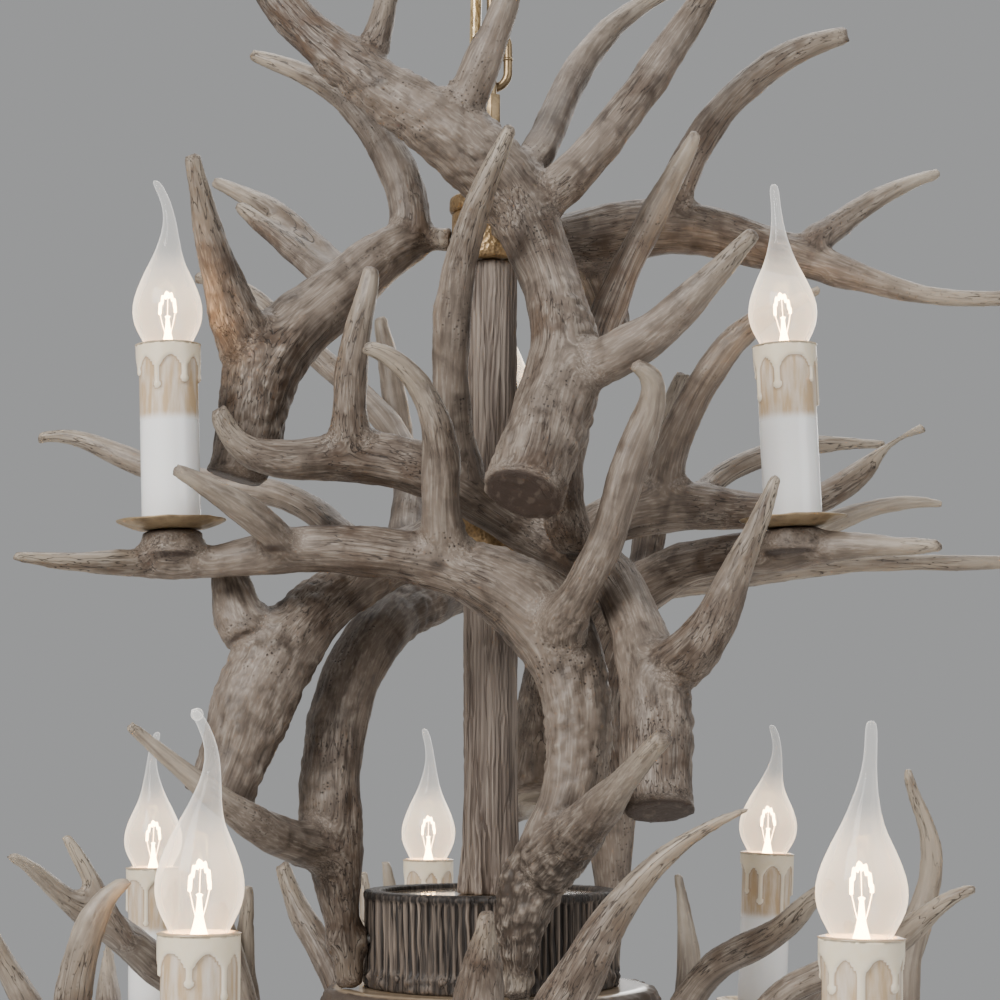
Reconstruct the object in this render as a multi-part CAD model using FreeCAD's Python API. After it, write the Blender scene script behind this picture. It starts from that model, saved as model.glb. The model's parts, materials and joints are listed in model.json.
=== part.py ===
"""Antler chandelier: a canopy and chain, a bark column with three tiers of cast antlers, twelve candles.

Millimetres. X right, Y away from the viewer, Z up. The origin is the middle of the ceiling
bracket's flat top face, and every height is worked out downwards from there.
"""
import FreeCAD, Part
import math
import os
from collections import namedtuple
from FreeCAD import Placement, Rotation, Vector

os.makedirs("parts", exist_ok=True)

# ---- driving dimensions -------------------------------------------------------------------
BRACKET_LENGTH = 100.0
BRACKET_WIDTH = 22.0
BRACKET_THICKNESS = 2.5
BRACKET_HOLE_SPACING = 84.0
BRACKET_HOLE_DIAMETER = 5.0
NIPPLE_RADIUS = 5.0
LOCK_NUT_ACROSS = 15.0
LOCK_NUT_HEIGHT = 5.0
BLOCK_LENGTH = 24.0
BLOCK_WIDTH = 16.0
BLOCK_HEIGHT = 12.0
BLOCK_SCREW_RADIUS = 2.0

CANOPY_RADIUS = 62.0
CANOPY_RIM_HEIGHT = 8.0
CANOPY_DEPTH = 34.0
CANOPY_WALL = 1.6
CANOPY_NECK_LEDGE = 12.0
CORD_HOLE_GAP = 1.5

LOOP_COLLAR_RADIUS = 9.0
LOOP_COLLAR_HEIGHT = 12.0
LOOP_RING_RADIUS = 11.0      # to the middle of the wire, as for every ring and link here
LOOP_WIRE_RADIUS = 2.8

CHAIN_LINKS = 9              # an odd number, so that the quick link hangs edge on
CHAIN_WIRE_RADIUS = 2.5
CHAIN_LINK_HALF_WIDTH = 9.2
CHAIN_LINK_STRAIGHT = 14.0
CHAIN_PLAY = 0.35

QUICK_WIRE_RADIUS = 2.95
QUICK_HALF_WIDTH = 8.5
QUICK_STRAIGHT = 25.0
QUICK_NUT_ACROSS = 9.7
QUICK_NUT_LENGTH = 18.0
QUICK_GAP = 8.0

EYE_RING_RADIUS = 9.2
EYE_WIRE_RADIUS = 2.8
EYE_COLLAR_RADIUS = 6.5
EYE_COLLAR_HEIGHT = 13.0

CORD_RADIUS = 3.2
TUBE_RADIUS = 5.0
TUBE_BORE_RADIUS = 3.8
TUBE_CLEARANCE = 0.2
THREAD_GAP = 0.05
RUNNING_GAP = 0.08
CABLE_RADIUS = 3.5

CAP_TOP_ABOVE_EYE = 301.0    # the viewer's eye level is the height that the body is drawn from
CAP_HEIGHT = 9.0
CAP_OVERHANG = 1.5
CAP_EDGE = 2.0
TOP_HUB_RADIUS = 21.5
TOP_HUB_HEIGHT = 27.0
HUB_WALL = 3.0
MID_HUB_ABOVE_EYE = 104.0
MID_HUB_RADIUS = 21.0
MID_HUB_HEIGHT = 34.0
COLUMN_SOCKET = 4.0          # how far the lower column reaches up into the mid hub

COLUMN_RADIUS = 14.5
COLUMN_FOOT_RADIUS = 18.0
COLUMN_BORE_RADIUS = 8.0
COLUMN_FLARE_HEIGHT = 55.0
COLUMN_GROOVES = 11
COLUMN_SHADOW_GAP = 0.6
GROOVE_RADIUS = 2.6
GROOVE_DEPTH = 1.1

STUMP_TOP_BELOW_EYE = 73.0
STUMP_RADIUS = 67.0
STUMP_HEIGHT = 50.0
STUMP_WALL = 9.0
STUMP_FLOOR = 4.0
STUMP_GROOVES = 30
DISC_THICKNESS = 5.0
DISC_RECESS = 2.5
DISC_CLEARANCE = 0.3
SHELF_WIDTH = 3.0

PLATE_RADIUS = 90.0
PLATE_TOP_RADIUS = 81.0
PLATE_THICKNESS = 16.0
PLATE_RIM_DROP = 2.0

UNDER_COLUMN_LENGTH = 94.0
LOWER_HUB_RADIUS = 45.0
LOWER_HUB_HEIGHT = 38.0
LOWER_HUB_WALL = 4.0
BOTTOM_COVER_DEPTH = 20.0
FINIAL_RADIUS = 15.0
FINIAL_HEIGHT = 34.0

SCREW_RADIUS = 2.5
SCREW_HEAD_RADIUS = 4.2
SCREW_HEAD_HEIGHT = 3.0
SCREW_REACH = 12.0           # how far a screw goes into its antler
SCREW_CLEARANCE = 0.15
HEAD_SAGITTA = 0.6           # a flat head clears the drum's round inner wall
TANG_RADIUS = 7.0
TANG_LENGTH = 22.0
SEAT_GAP = 0.05

PAN_RADIUS = 28.0
PAN_FLOOR = 1.8
PAN_HEIGHT = 5.0
PAN_WALL = 1.6
BOSS_RADIUS = 14.0
BOSS_SPREAD = 1.3             # how much wider a boss is at its foot
UPPER_BOSS_FOOT = 13.0
LOWER_BOSS_FOOT = 19.0
SLEEVE_RADIUS = 15.0
SLEEVE_WALL = 1.4
SLEEVE_HEIGHT = 94.0
DRIP_SWELL = 1.2
DRIP_BAND_DROP = 9.0
LAMP_NIPPLE_RADIUS = 4.0
LAMP_NIPPLE_BORE = 2.8
LAMP_NIPPLE_SINK = 9.0
HOLDER_RADIUS = 12.0
HOLDER_HEIGHT = 46.0
HOLDER_FLOOR = 5.0
HOLDER_DROP = 12.0           # the holder's mouth below the sleeve's mouth
BULB_CAP_RADIUS = 6.9
BULB_CAP_HEIGHT = 24.0
BULB_RADIUS = 17.8
TIP_SHARE = 0.66              # a horn's blunt end against the station before it

UP = Vector(0, 0, 1)

# The cord's route: X, Y and the share of the way down from the canopy to the cap.
CORD_ROUTE = [(-8.5, 15.6, 0.0), (-8.8, 16.2, 0.11), (-10.6, 17.4, 0.25), (-9.4, 19.2, 0.4), (-7.4, 18.4, 0.53),
              (-8.8, 16.6, 0.67), (-9.6, 16.4, 0.81), (-7.4, 15.2, 0.91), (-6.2, 14.2, 1.0)]

# A bulb's outline above the sleeve's mouth: share of its height, share of its radius.
BULB_SHAPE = [(-0.05, 0.58), (0.03, 0.74), (0.1, 0.92), (0.185, 1.0), (0.27, 0.96), (0.38, 0.77), (0.5, 0.5),
              (0.62, 0.31), (0.74, 0.19), (0.86, 0.14), (0.96, 0.13), (1.0, 0.08)]

# ---- antler skeletons ---------------------------------------------------------------------
# An antler is a main horn and its tines. A station is x, y, z and radius, counted from the point
# of the hub's face that the antler is screwed to. degrees is that point's bearing from +X to +Y.
Antler = namedtuple("Antler", "degrees horns")

TOP_ANTLERS = {
    "antler_top_front": Antler(-74, [
        [(10, -120, -156, 20), (20, -104, -126, 19.5), (30, -86, -92, 18.5), (29, -64, -55, 15.5),
         (18, -36, -16, 16), (8, -27, 8, 18.5), (-8, -31, 28, 19.5), (-40, -34, 53, 17.5), (-75, -30, 78, 14),
         (-110, -23, 110, 11.5), (-135, -16, 148, 8.5), (-146, -13, 184, 4.7), (-148, -13, 202, 1.6)],
        [(36, -85, -90, 13), (65, -105, -80, 11), (92, -121, -60, 8.5), (110, -130, -42, 6),
         (122, -134, -30, 1.5)],
        [(20, -29, 8, 12.5), (52, -23, 42, 11), (84, -15, 87, 9.5), (115, -8, 136, 6.5), (132, -5, 168, 1.6)],
        [(-25, -33, 48, 13.5), (-12, -39, 78, 10.3), (0, -45, 106, 8.3), (7, -49, 128, 6), (12, -53, 146, 1.5)],
        [(-75, -29, 78, 10.3), (-65, -23, 106, 8), (-60, -17, 134, 5.7), (-55, -13, 162, 1.6)],
        [(8, -22, 26, 11), (28, 14, 64, 9.7), (48, 46, 110, 8.2), (73, 63, 140, 6), (108, 77, 162, 1.7)]]),
    "antler_top_left": Antler(174, [
        [(-115, -36, -136, 15.7), (-106, -35, -105, 18.3), (-98, -30, -74, 19.5), (-80, -20, -50, 18),
         (-53, -8, -24, 15.5), (-19, 2, 0, 12)],
        [(-107, -32, -66, 16), (-118, -48, -38, 11.5), (-127, -63, -5, 7.5), (-134, -72, 30, 1.5)],
        [(-22, 1, 0, 11), (-27, 8, 32, 11.3), (-42, 18, 64, 9.8), (-68, 28, 92, 7.6), (-96, 36, 108, 5.5),
         (-116, 40, 116, 1.7)],
        [(-48, -2, -26, 8.6), (-72, 24, -4, 8.5), (-98, 43, 22, 7.6), (-120, 56, 38, 5.8), (-139, 64, 48, 1.7)],
        [(-66, 4, -22, 8.5), (-88, 20, -2, 7.4), (-108, 32, 16, 5.8), (-122, 38, 28, 3)]]),
    "antler_top_right": Antler(34, [
        [(15, 10, 4, 13), (30, 14, 5, 15.7), (50, 17, 9, 17), (95, 18, 12, 14.6), (127, 18, 4, 12.8),
         (165, 17, -8, 10.3), (205, 13, -22, 6.8), (250, 6, -30, 5), (295, 0, -30, 1.6)],
        [(79, 18, 18, 13), (90, 10, 44, 10), (109, 4, 74, 8.8), (135, -1, 98, 8.2), (162, -4, 112, 7),
         (180, -6, 116, 4.6)],
        [(160, 18, 2, 9.3), (190, 34, 26, 7.3), (219, 46, 44, 5), (240, 52, 52, 1.7)],
        [(34, 22, 0, 12), (46, 54, -20, 12.3), (52, 74, -42, 11.5)]]),
}

MID_ANTLERS = {
    "antler_mid_front": Antler(-69, [
        [(73, -128, -150, 18), (72, -118, -122, 17.5), (72, -108, -94, 16.8), (64, -76, -56, 13.5),
         (36, -30, -20, 13), (7, -19, -4, 12.5), (-25, -33, 16, 13.5), (-60, -36, 29, 14.3), (-100, -39, 29, 10.8),
         (-130, -47, 31, 8.4), (-141, -49, 40, 6.5), (-147, -51, 54, 2)],
        [(78, -108, -81, 13.6), (99, -126, -60, 11), (113, -136, -29, 7), (122, -140, -8, 4.7),
         (128, -142, 9, 1.5)],
        [(37, -50, -18, 11), (30, -66, 18, 9.8), (37, -40, 54, 9.2), (51, 0, 101, 9.5), (65, 12, 137, 9),
         (85, 6, 177, 7.4), (97, -1, 198, 5.5), (103, -6, 211, 1.6)],
        [(-21, -32, 24, 11.3), (-28, -44, 58, 10.4), (-26, -64, 108, 9.5), (-16, -77, 150, 7.6),
         (-6, -82, 173, 6), (3, -86, 193, 1.5)],
        [(-81, -38, 34, 11.3), (-80, -45, 58, 9.2), (-77, -51, 90, 7.8), (-70, -53, 118, 5.5), (-69, -53, 127, 4.6)]]),
    "antler_mid_left": Antler(153, [
        [(-121, -71, -146, 18.5), (-106, -69, -106, 19.3), (-92, -61, -74, 20), (-74, -47, -50, 16.7),
         (-46, -16, -26, 14.4), (-12, 6, -5, 11.4)],
        [(-105, -64, -63, 13.4), (-116, -58, -36, 11), (-119, -56, -22, 7.5)],
        [(-44, -6, -18, 10.8), (-76, 30, 9, 8.5), (-120, 58, 28, 8), (-160, 72, 36, 8), (-205, 82, 53, 6.3),
         (-246, 88, 60, 1.7)],
        [(-28, 12, -9, 9.8), (-28, 52, 28, 8.8), (-48, 88, 76, 8.1), (-90, 101, 116, 7.8), (-125, 107, 148, 6.4),
         (-159, 110, 160, 1.8)]]),
    "antler_mid_right": Antler(43, [
        [(18, 98, -149, 16.4), (16, 95, -95, 16), (20, 78, -49, 15), (29, 42, -12, 14.2), (48, 23, 5, 13.8),
         (90, 20, 14, 13.5), (129, 22, 12, 10.5), (165, 25, 18, 8.5), (197, 28, 39, 5.5), (227, 28, 59, 1.7)],
        [(33, 37, -6, 11.4), (22, 22, -4, 10.8), (10, 8, -2, 10)],
        [(79, 20, 23, 12), (88, 15, 54, 9.6), (107, 8, 90, 8.2), (130, 2, 114, 7), (155, -2, 127, 4.3),
         (166, -4, 132, 1.6)],
        [(101, 28, 21, 7.8), (125, 52, 40, 6.8), (163, 68, 53, 6.3), (190, 75, 56, 4.4), (214, 80, 56, 1.7)],
        [(33, 62, -27, 10), (80, 101, -26, 8), (145, 129, -16, 6.8), (220, 146, -8, 5.4), (270, 152, -7, 5),
         (319, 156, -5, 1.8)]]),
}

STUMP_ANTLERS = {
    "antler_stump_front": Antler(-81, [
        [(2, -18, -24, 7.5), (4, -19, 0, 9.5), (8, -22, 26, 14.5), (22, -25, 56, 16), (33, -22, 98, 15.5),
         (32, -17, 128, 17), (22, -11, 157, 21), (-10, -10, 183, 18), (-45, -10, 194, 13.2), (-95, -10, 200, 12.5),
         (-135, -8, 196, 9.8), (-183, -10, 193, 7.6), (-206, -24, 192, 6), (-228, -40, 192, 4.4),
         (-245, -50, 193, 1.5)],
        [(17, -34, 42, 14), (34, -64, 61, 11.5), (50, -108, 82, 7.5), (70, -128, 106, 3)],
        [(27, -24, 156, 12.5), (36, -46, 180, 9.7), (50, -55, 211, 8.8), (66, -60, 259, 7.8), (69, -67, 275, 6),
         (59, -75, 284, 2.4)],
        [(-32, -14, 200, 11), (-35, -26, 234, 9.8), (-38, -38, 262, 8), (-50, -45, 284, 6), (-74, -50, 297, 1.5)],
        [(-114, -16, 201, 8.2), (-132, -35, 217, 8), (-150, -46, 228, 5.8), (-166, -54, 236, 1.5)]]),
    "antler_stump_right": Antler(40, [
        [(13, 13, -24, 7.5), (14, 12, 0, 8), (16, 11, 26, 10.5), (13, 7, 71, 15), (7, 0, 112, 14.4),
         (9, -13, 153, 14.8), (24, -31, 180, 15), (48, -52, 195, 12.8), (85, -79, 201, 11.5),
         (120, -102, 202, 8.8), (156, -125, 201, 5.5), (175, -135, 200, 1.5)],
        [(90, -73, 202, 7.4), (115, -50, 212, 6.8), (149, -39, 227, 5.4), (171, -35, 232, 4.3),
         (195, -31, 232, 1.6)],
        [(12, -7, 159, 11), (32, 24, 190, 10), (42, 48, 237, 9.2), (52, 63, 291, 7), (62, 67, 320, 1.8)]]),
    "antler_stump_left": Antler(-164, [
        [(-9, -3, -24, 6.5), (-11, -4, 0, 8.5), (-14, -5, 22, 11.5), (-18, -6, 52, 15.6), (-19, -2, 93, 16),
         (-11, 13, 135, 16.6), (3, 40, 163, 16), (26, 86, 182, 14.7), (51, 140, 194, 13.5), (80, 194, 203, 12.6),
         (119, 232, 211, 9.4), (145, 248, 215, 5.7), (165, 258, 217, 1.9)],
        [(-22, -14, 46, 12.4), (-40, -42, 54, 10.6), (-59, -78, 67, 8.5), (-90, -92, 92, 5), (-112, -96, 111, 1.5)],
        [(13, 56, 172, 10.5), (17, 86, 202, 9.5), (15, 118, 252, 8.8), (5, 141, 317, 7), (-3, 148, 357, 1.8)]]),
}

# How a bulb's tail is drawn out by hand: its tip aside and back, its sway between, its height
# above the sleeve's mouth.
Tail = namedtuple("Tail", "x y sway height")
# A candle on a stump antler: place of its pan from that antler's seat, lean right, bulb's tail.
Candle = namedtuple("Candle", "x y z lean tail")
STUMP_CANDLES = {
    "antler_stump_front": Candle(-173, -6, 210, -1.9, Tail(-5, 0, 3.5, 86)),
    "antler_stump_right": Candle(105.5, -96, 213, -2.2, Tail(-1, 2, 0, 86)),
    "antler_stump_left": Candle(67, 178, 211, 0.6, Tail(3, -3, -2, 84)),
}

# A lower antler stands away from the hub along its bearing, counted from the front to the right.
# reach is from the hub's face to its candle, rise from the seat up to the candle's pan.
LowerAntler = namedtuple("LowerAntler", "bearing reach rise lean tail tines")
# The beam, as shares of the reach, then sideways, up and radius.
LOWER_BEAM = [(-0.02, 0, 1, 10.5), (0.09, 1, -10, 13.5), (0.24, 4, -25, 16), (0.42, 8, -26, 16),
              (0.58, 9, -12, 15), (0.73, 7, 12, 13.5), (0.87, 3, 42, 12.5), (1.0, 0, 67, 12)]
LOWER_END = [(22, 0, 73, 11), (44, -3, 80, 9.4), (64, -12, 104, 7), (76, -20, 136, 1.8)]
# Tines: outwards from the hub's face, sideways, up and radius.
INNER_TINE = [(72, 4, -24, 13), (66, 22, 20, 11.5), (68, 38, 70, 9.5), (75, 48, 118, 8), (75, 55, 160, 5),
              (72, 60, 184, 1.8)]
OUTER_TINE = [(150, 8, -22, 12), (160, 24, 24, 11.5), (172, 34, 70, 10), (190, 42, 112, 8.5), (210, 46, 148, 5.5),
              (220, 48, 176, 1.8)]
LOWER_ANTLERS = [
    LowerAntler(-19.4, 300, 85, 0.0, Tail(-3.5, 2, 5.5, 88), [
        [(214, 4, 18, 11), (238, -20, 44, 11.2), (264, -43, 76, 10.6), (284, -57, 112, 9.5), (294, -60, 146, 8.3),
         (295, -56, 167, 7.3), (293, -51, 184, 6.5), (291, -45, 194, 4.6), (288, -37, 200, 1.6)],
        [(122, 11, -22, 11), (128, 24, 4, 11.8), (136, 42, 48, 12.4), (143, 58, 104, 12.8), (147, 63, 141, 12),
         (150, 65, 155, 10), (154, 68, 169, 6.5), (155, 69, 182, 2.2)]]),
    LowerAntler(21.7, 338, 85.5, 1.2, Tail(3.4, 0, 1.5, 82.5), [
        [(170, 5, -12, 14), (187, -30, 27, 14), (202, -66, 72, 13.5), (219, -84, 117, 13), (236, -78, 150, 11.5),
         (247, -67, 177, 9), (259, -47, 206, 5.5), (270, -25, 223, 3.2), (277, -13, 229, 1.4)],
        [(125, 8, -24, 13), (138, 26, 40, 11), (155, 40, 100, 9.5), (184, 59, 147, 8), (222, 86, 168, 7),
         (248, 98, 188, 4.4), (257, 107, 193, 1.6)]]),
    LowerAntler(61, 305, 85, 0.8, Tail(3, 0, 2, 84), [
        [(160, 8, -18, 12.5), (178, -18, 20, 12), (190, -32, 80, 10), (196, -37, 124, 8.5), (200, -38, 159, 7.3),
         (207, -37, 180, 6.6), (211, -36, 197, 5.6), (208, -42, 226, 4.4), (204, -45, 245, 1.8)],
        [(64, 4, -24, 12), (62, -2, 60, 10), (68, -6, 120, 8.6), (92, -10, 147, 8.2), (115, -14, 158, 7.8),
         (140, -23, 174, 6), (160, -30, 190, 1.8)]]),
    LowerAntler(100, 300, 85, -1.0, Tail(-4, 2, 3, 86), [INNER_TINE, OUTER_TINE]),
    LowerAntler(141.8, 223, 94, 2.7, Tail(0, 0, 4, 78.5), [INNER_TINE]),
    LowerAntler(-172.4, 279, 85, 0.0, Tail(-3, 0, 2, 86), [
        [(100, 8, -26, 12), (104, 20, 40, 10.5), (110, 32, 110, 8.5), (112, 39, 165, 5.2), (112, 43, 188, 1.8)],
        OUTER_TINE]),
    LowerAntler(-135.3, 252, 85, -0.6, Tail(2, 3, -2, 83), [
        [(60, 4, -24, 12), (54, 6, 40, 11), (58, 8, 100, 10), (66, 9, 122, 9.4), (78, 12, 141, 8.8),
         (93, 16, 162, 7.2), (105, 20, 189, 1.8)]]),
    LowerAntler(-98, 300, 85, 1.2, Tail(4, -2, -3, 85), [INNER_TINE, OUTER_TINE]),
    LowerAntler(-59, 305, 85, -0.9, Tail(-3, 3, 2, 85), [
        [(90, 8, -26, 13), (98, 14, 40, 12), (110, 18, 95, 11), (132, 22, 132, 10), (161, 28, 153, 9),
         (183, 38, 168, 8), (205, 43, 181, 6.5), (224, 48, 195, 4.6), (240, 50, 205, 1.8)],
        [(176, 40, 160, 6), (191, 45, 181, 5.2), (200, 42, 198, 4.4), (209, 39, 214, 3)],
        [(76, 0, -24, 11), (74, -8, 20, 10.5), (78, -16, 80, 9), (88, -24, 130, 7.5), (100, -30, 176, 1.8)]]),
]


# ---- small helpers ------------------------------------------------------------------------
def cylinder(radius, height, bottom, x=0.0, y=0.0):
    """An upright cylinder standing at height bottom."""
    return Part.makeCylinder(radius, height, Vector(x, y, bottom))


def ring(outer, inner, height, bottom):
    """An upright tube."""
    return cylinder(outer, height, bottom).cut(cylinder(inner, height + 2, bottom - 1))


def revolve(profile):
    """Turns a closed outline of (radius, height) points about the Z axis."""
    points = [Vector(r, 0, z) for r, z in profile]
    return Part.Face(Part.makePolygon(points + points[:1])).revolve(Vector(), UP, 360)


def hexagon(across, height, bottom, bore):
    """A hexagonal nut with a plain bore."""
    corner = across / math.sqrt(3)
    points = [polar(corner, degrees, bottom) for degrees in range(0, 360, 60)]
    body = Part.Face(Part.makePolygon(points + points[:1])).extrude(UP * height)
    return body.cut(cylinder(bore, height + 2, bottom - 1))


def polar(radius, degrees, height):
    """A point at a bearing counted from +X towards +Y."""
    return Vector(radius * math.cos(math.radians(degrees)), radius * math.sin(math.radians(degrees)), height)


def along(start, direction, radius, length):
    """A cylinder from start along direction."""
    return Part.makeCylinder(radius, length, start, direction)


def save(name, shapes):
    """Writes one node, as a single solid or as a group of separate solids."""
    shape = shapes if isinstance(shapes, Part.Shape) else Part.makeCompound(shapes)
    sound = all(solid.isValid() and solid.Volume > 0 for solid in shape.Solids)
    shape.exportStep("parts/%s.step" % name)
    print("%-22s solids %2d volume %9.0f %s" % (name, len(shape.Solids), shape.Volume, "" if sound else "NOT SOUND"))


# ---- heights, worked out downwards from the ceiling ---------------------------------------
CANOPY_TOP = -0.2
CANOPY_BOTTOM = -CANOPY_DEPTH
COLLAR_BOTTOM = CANOPY_BOTTOM - LOOP_COLLAR_HEIGHT
LOOP_CENTRE = COLLAR_BOTTOM - LOOP_RING_RADIUS + LOOP_WIRE_RADIUS / 2
LOOP_BOTTOM_WIRE = LOOP_CENTRE - LOOP_RING_RADIUS
LINK_HALF = CHAIN_LINK_HALF_WIDTH + CHAIN_LINK_STRAIGHT / 2
LINK_PITCH = 2 * LINK_HALF - 2 * CHAIN_WIRE_RADIUS - CHAIN_PLAY
TOP_LINK_CENTRE = LOOP_BOTTOM_WIRE + LOOP_WIRE_RADIUS + CHAIN_PLAY + CHAIN_WIRE_RADIUS - LINK_HALF
LAST_LINK_CENTRE = TOP_LINK_CENTRE - (CHAIN_LINKS - 1) * LINK_PITCH
QUICK_HALF = QUICK_HALF_WIDTH + QUICK_STRAIGHT / 2
QUICK_CENTRE = (LAST_LINK_CENTRE - LINK_HALF + CHAIN_WIRE_RADIUS + CHAIN_PLAY + QUICK_WIRE_RADIUS
                - QUICK_HALF)
EYE_RING_CENTRE = (QUICK_CENTRE - QUICK_HALF + QUICK_WIRE_RADIUS + CHAIN_PLAY + EYE_WIRE_RADIUS
                   - EYE_RING_RADIUS)
CAP_TOP = EYE_RING_CENTRE - EYE_RING_RADIUS - EYE_COLLAR_HEIGHT
EYE = CAP_TOP - CAP_TOP_ABOVE_EYE

TOP_HUB_TOP = CAP_TOP - CAP_HEIGHT
TOP_HUB_BOTTOM = TOP_HUB_TOP - TOP_HUB_HEIGHT
TOP_SEAT = TOP_HUB_BOTTOM + TOP_HUB_HEIGHT / 2
MID_HUB_BOTTOM = EYE + MID_HUB_ABOVE_EYE
MID_HUB_TOP = MID_HUB_BOTTOM + MID_HUB_HEIGHT
MID_SEAT = MID_HUB_BOTTOM + MID_HUB_HEIGHT / 2
STUMP_TOP = EYE - STUMP_TOP_BELOW_EYE
STUMP_BOTTOM = STUMP_TOP - STUMP_HEIGHT
STUMP_SEAT = STUMP_BOTTOM + STUMP_HEIGHT / 2
DISC_TOP = STUMP_TOP - DISC_RECESS
DISC_BOTTOM = DISC_TOP - DISC_THICKNESS
PLATE_TOP = STUMP_BOTTOM
PLATE_BOTTOM = PLATE_TOP - PLATE_THICKNESS
LOWER_HUB_TOP = PLATE_BOTTOM - UNDER_COLUMN_LENGTH
LOWER_HUB_BOTTOM = LOWER_HUB_TOP - LOWER_HUB_HEIGHT
LOWER_SEAT = LOWER_HUB_BOTTOM + LOWER_HUB_HEIGHT / 2
COVER_BOTTOM = LOWER_HUB_BOTTOM - BOTTOM_COVER_DEPTH
TUBE_BOTTOM = COVER_BOTTOM - FINIAL_HEIGHT / 2
TUBE_TOP = CAP_TOP - CAP_HEIGHT / 2
TOP_SEATS = [antler.degrees for antler in TOP_ANTLERS.values()]
MID_SEATS = [antler.degrees for antler in MID_ANTLERS.values()]
STUMP_SEATS = [antler.degrees for antler in STUMP_ANTLERS.values()]
LOWER_SEATS = [antler.bearing - 90 for antler in LOWER_ANTLERS]


# ---- ceiling parts ------------------------------------------------------------------------
def ceiling_bracket():
    """A flat bar with two screw holes and a threaded middle hole."""
    bar = Part.makeBox(BRACKET_LENGTH, BRACKET_WIDTH, BRACKET_THICKNESS,
                       Vector(-BRACKET_LENGTH / 2, -BRACKET_WIDTH / 2, -BRACKET_THICKNESS))
    bar = bar.cut(cylinder(NIPPLE_RADIUS + THREAD_GAP, BRACKET_THICKNESS + 2, -BRACKET_THICKNESS - 1))
    for side in (-1, 1):
        bar = bar.cut(cylinder(BRACKET_HOLE_DIAMETER / 2, BRACKET_THICKNESS + 2, -BRACKET_THICKNESS - 1,
                               side * BRACKET_HOLE_SPACING / 2))
    return bar


def bracket_nipple():
    """The hollow threaded tube from the bracket into the loop collar."""
    bottom = CANOPY_BOTTOM - LOOP_COLLAR_HEIGHT / 2
    return ring(NIPPLE_RADIUS, TUBE_BORE_RADIUS, -bottom - 0.2, bottom)


def nipple_lock_nut():
    """The nut that locks the nipple under the bracket."""
    return hexagon(LOCK_NUT_ACROSS, LOCK_NUT_HEIGHT, -BRACKET_THICKNESS - LOCK_NUT_HEIGHT,
                   NIPPLE_RADIUS + THREAD_GAP)


def terminal_block():
    """The insulated connector on a foot under the bracket, beside the nipple."""
    block = Part.makeBox(BLOCK_LENGTH, BLOCK_WIDTH, BLOCK_HEIGHT,
                         Vector(LOCK_NUT_ACROSS, -BLOCK_WIDTH / 2, -BRACKET_THICKNESS - BLOCK_HEIGHT))
    pitch = BLOCK_LENGTH / 3
    for way in range(3):
        hole = cylinder(BLOCK_SCREW_RADIUS, BLOCK_HEIGHT / 2, -BRACKET_THICKNESS - BLOCK_HEIGHT,
                        LOCK_NUT_ACROSS + pitch * (way + 0.5))
        block = block.cut(hole)
    return block


def canopy():
    """A spun dome with a neck hole and a side hole for the cord."""
    shoulder = CANOPY_RADIUS * 0.9
    waist = CANOPY_RADIUS * 0.62
    shoulder_z = -CANOPY_DEPTH * 0.48
    waist_z = -CANOPY_DEPTH * 0.82
    neck = LOOP_COLLAR_RADIUS + CANOPY_NECK_LEDGE
    slope = CANOPY_WALL * 1.3
    outer = [(0, CANOPY_TOP), (CANOPY_RADIUS, CANOPY_TOP), (CANOPY_RADIUS, -CANOPY_RIM_HEIGHT),
             (shoulder, shoulder_z), (waist, waist_z), (neck, CANOPY_BOTTOM), (0, CANOPY_BOTTOM)]
    inner = [(0, CANOPY_TOP + 1), (CANOPY_RADIUS - CANOPY_WALL, CANOPY_TOP + 1),
             (CANOPY_RADIUS - CANOPY_WALL, -CANOPY_RIM_HEIGHT), (shoulder - slope, shoulder_z + slope / 2),
             (waist - slope, waist_z + slope / 2), (neck - CANOPY_WALL, CANOPY_BOTTOM + CANOPY_WALL),
             (0, CANOPY_BOTTOM + CANOPY_WALL)]
    shell = revolve(outer).cut(revolve(inner))
    shell = shell.cut(cylinder(NIPPLE_RADIUS + THREAD_GAP, CANOPY_DEPTH + 4, CANOPY_BOTTOM - 2))
    return shell.cut(cylinder(CORD_RADIUS + CORD_HOLE_GAP, CANOPY_DEPTH + 4, CANOPY_BOTTOM - 2,
                              CORD_ROUTE[0][0], CORD_ROUTE[0][1]))


def canopy_loop():
    """The screw collar under the canopy with its ring, in the YZ plane."""
    collar = cylinder(LOOP_COLLAR_RADIUS, LOOP_COLLAR_HEIGHT, COLLAR_BOTTOM)
    loop = Part.makeTorus(LOOP_RING_RADIUS, LOOP_WIRE_RADIUS, Vector(0, 0, LOOP_CENTRE), Vector(1, 0, 0))
    socket = cylinder(NIPPLE_RADIUS + THREAD_GAP, LOOP_COLLAR_HEIGHT, CANOPY_BOTTOM - LOOP_COLLAR_HEIGHT / 2)
    return collar.fuse(loop).cut(socket)


# ---- chain --------------------------------------------------------------------------------
def oval_link(half_width, straight, wire, centre, turned):
    """A link of round wire standing upright, in the XZ plane or turned into the YZ plane."""
    half = straight / 2
    edges = [Part.LineSegment(Vector(half_width, 0, -half), Vector(half_width, 0, half)),
             Part.Arc(Vector(half_width, 0, half), Vector(0, 0, half + half_width), Vector(-half_width, 0, half)),
             Part.LineSegment(Vector(-half_width, 0, half), Vector(-half_width, 0, -half)),
             Part.Arc(Vector(-half_width, 0, -half), Vector(0, 0, -half - half_width),
                      Vector(half_width, 0, -half))]
    path = Part.Wire([edge.toShape() for edge in edges])
    section = Part.Wire(Part.makeCircle(wire, Vector(half_width, 0, -half), UP))
    solid = path.makePipeShell([section], True, False)
    if turned:
        solid.rotate(Vector(), UP, 90)
    solid.translate(Vector(0, 0, centre))
    return solid


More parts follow.
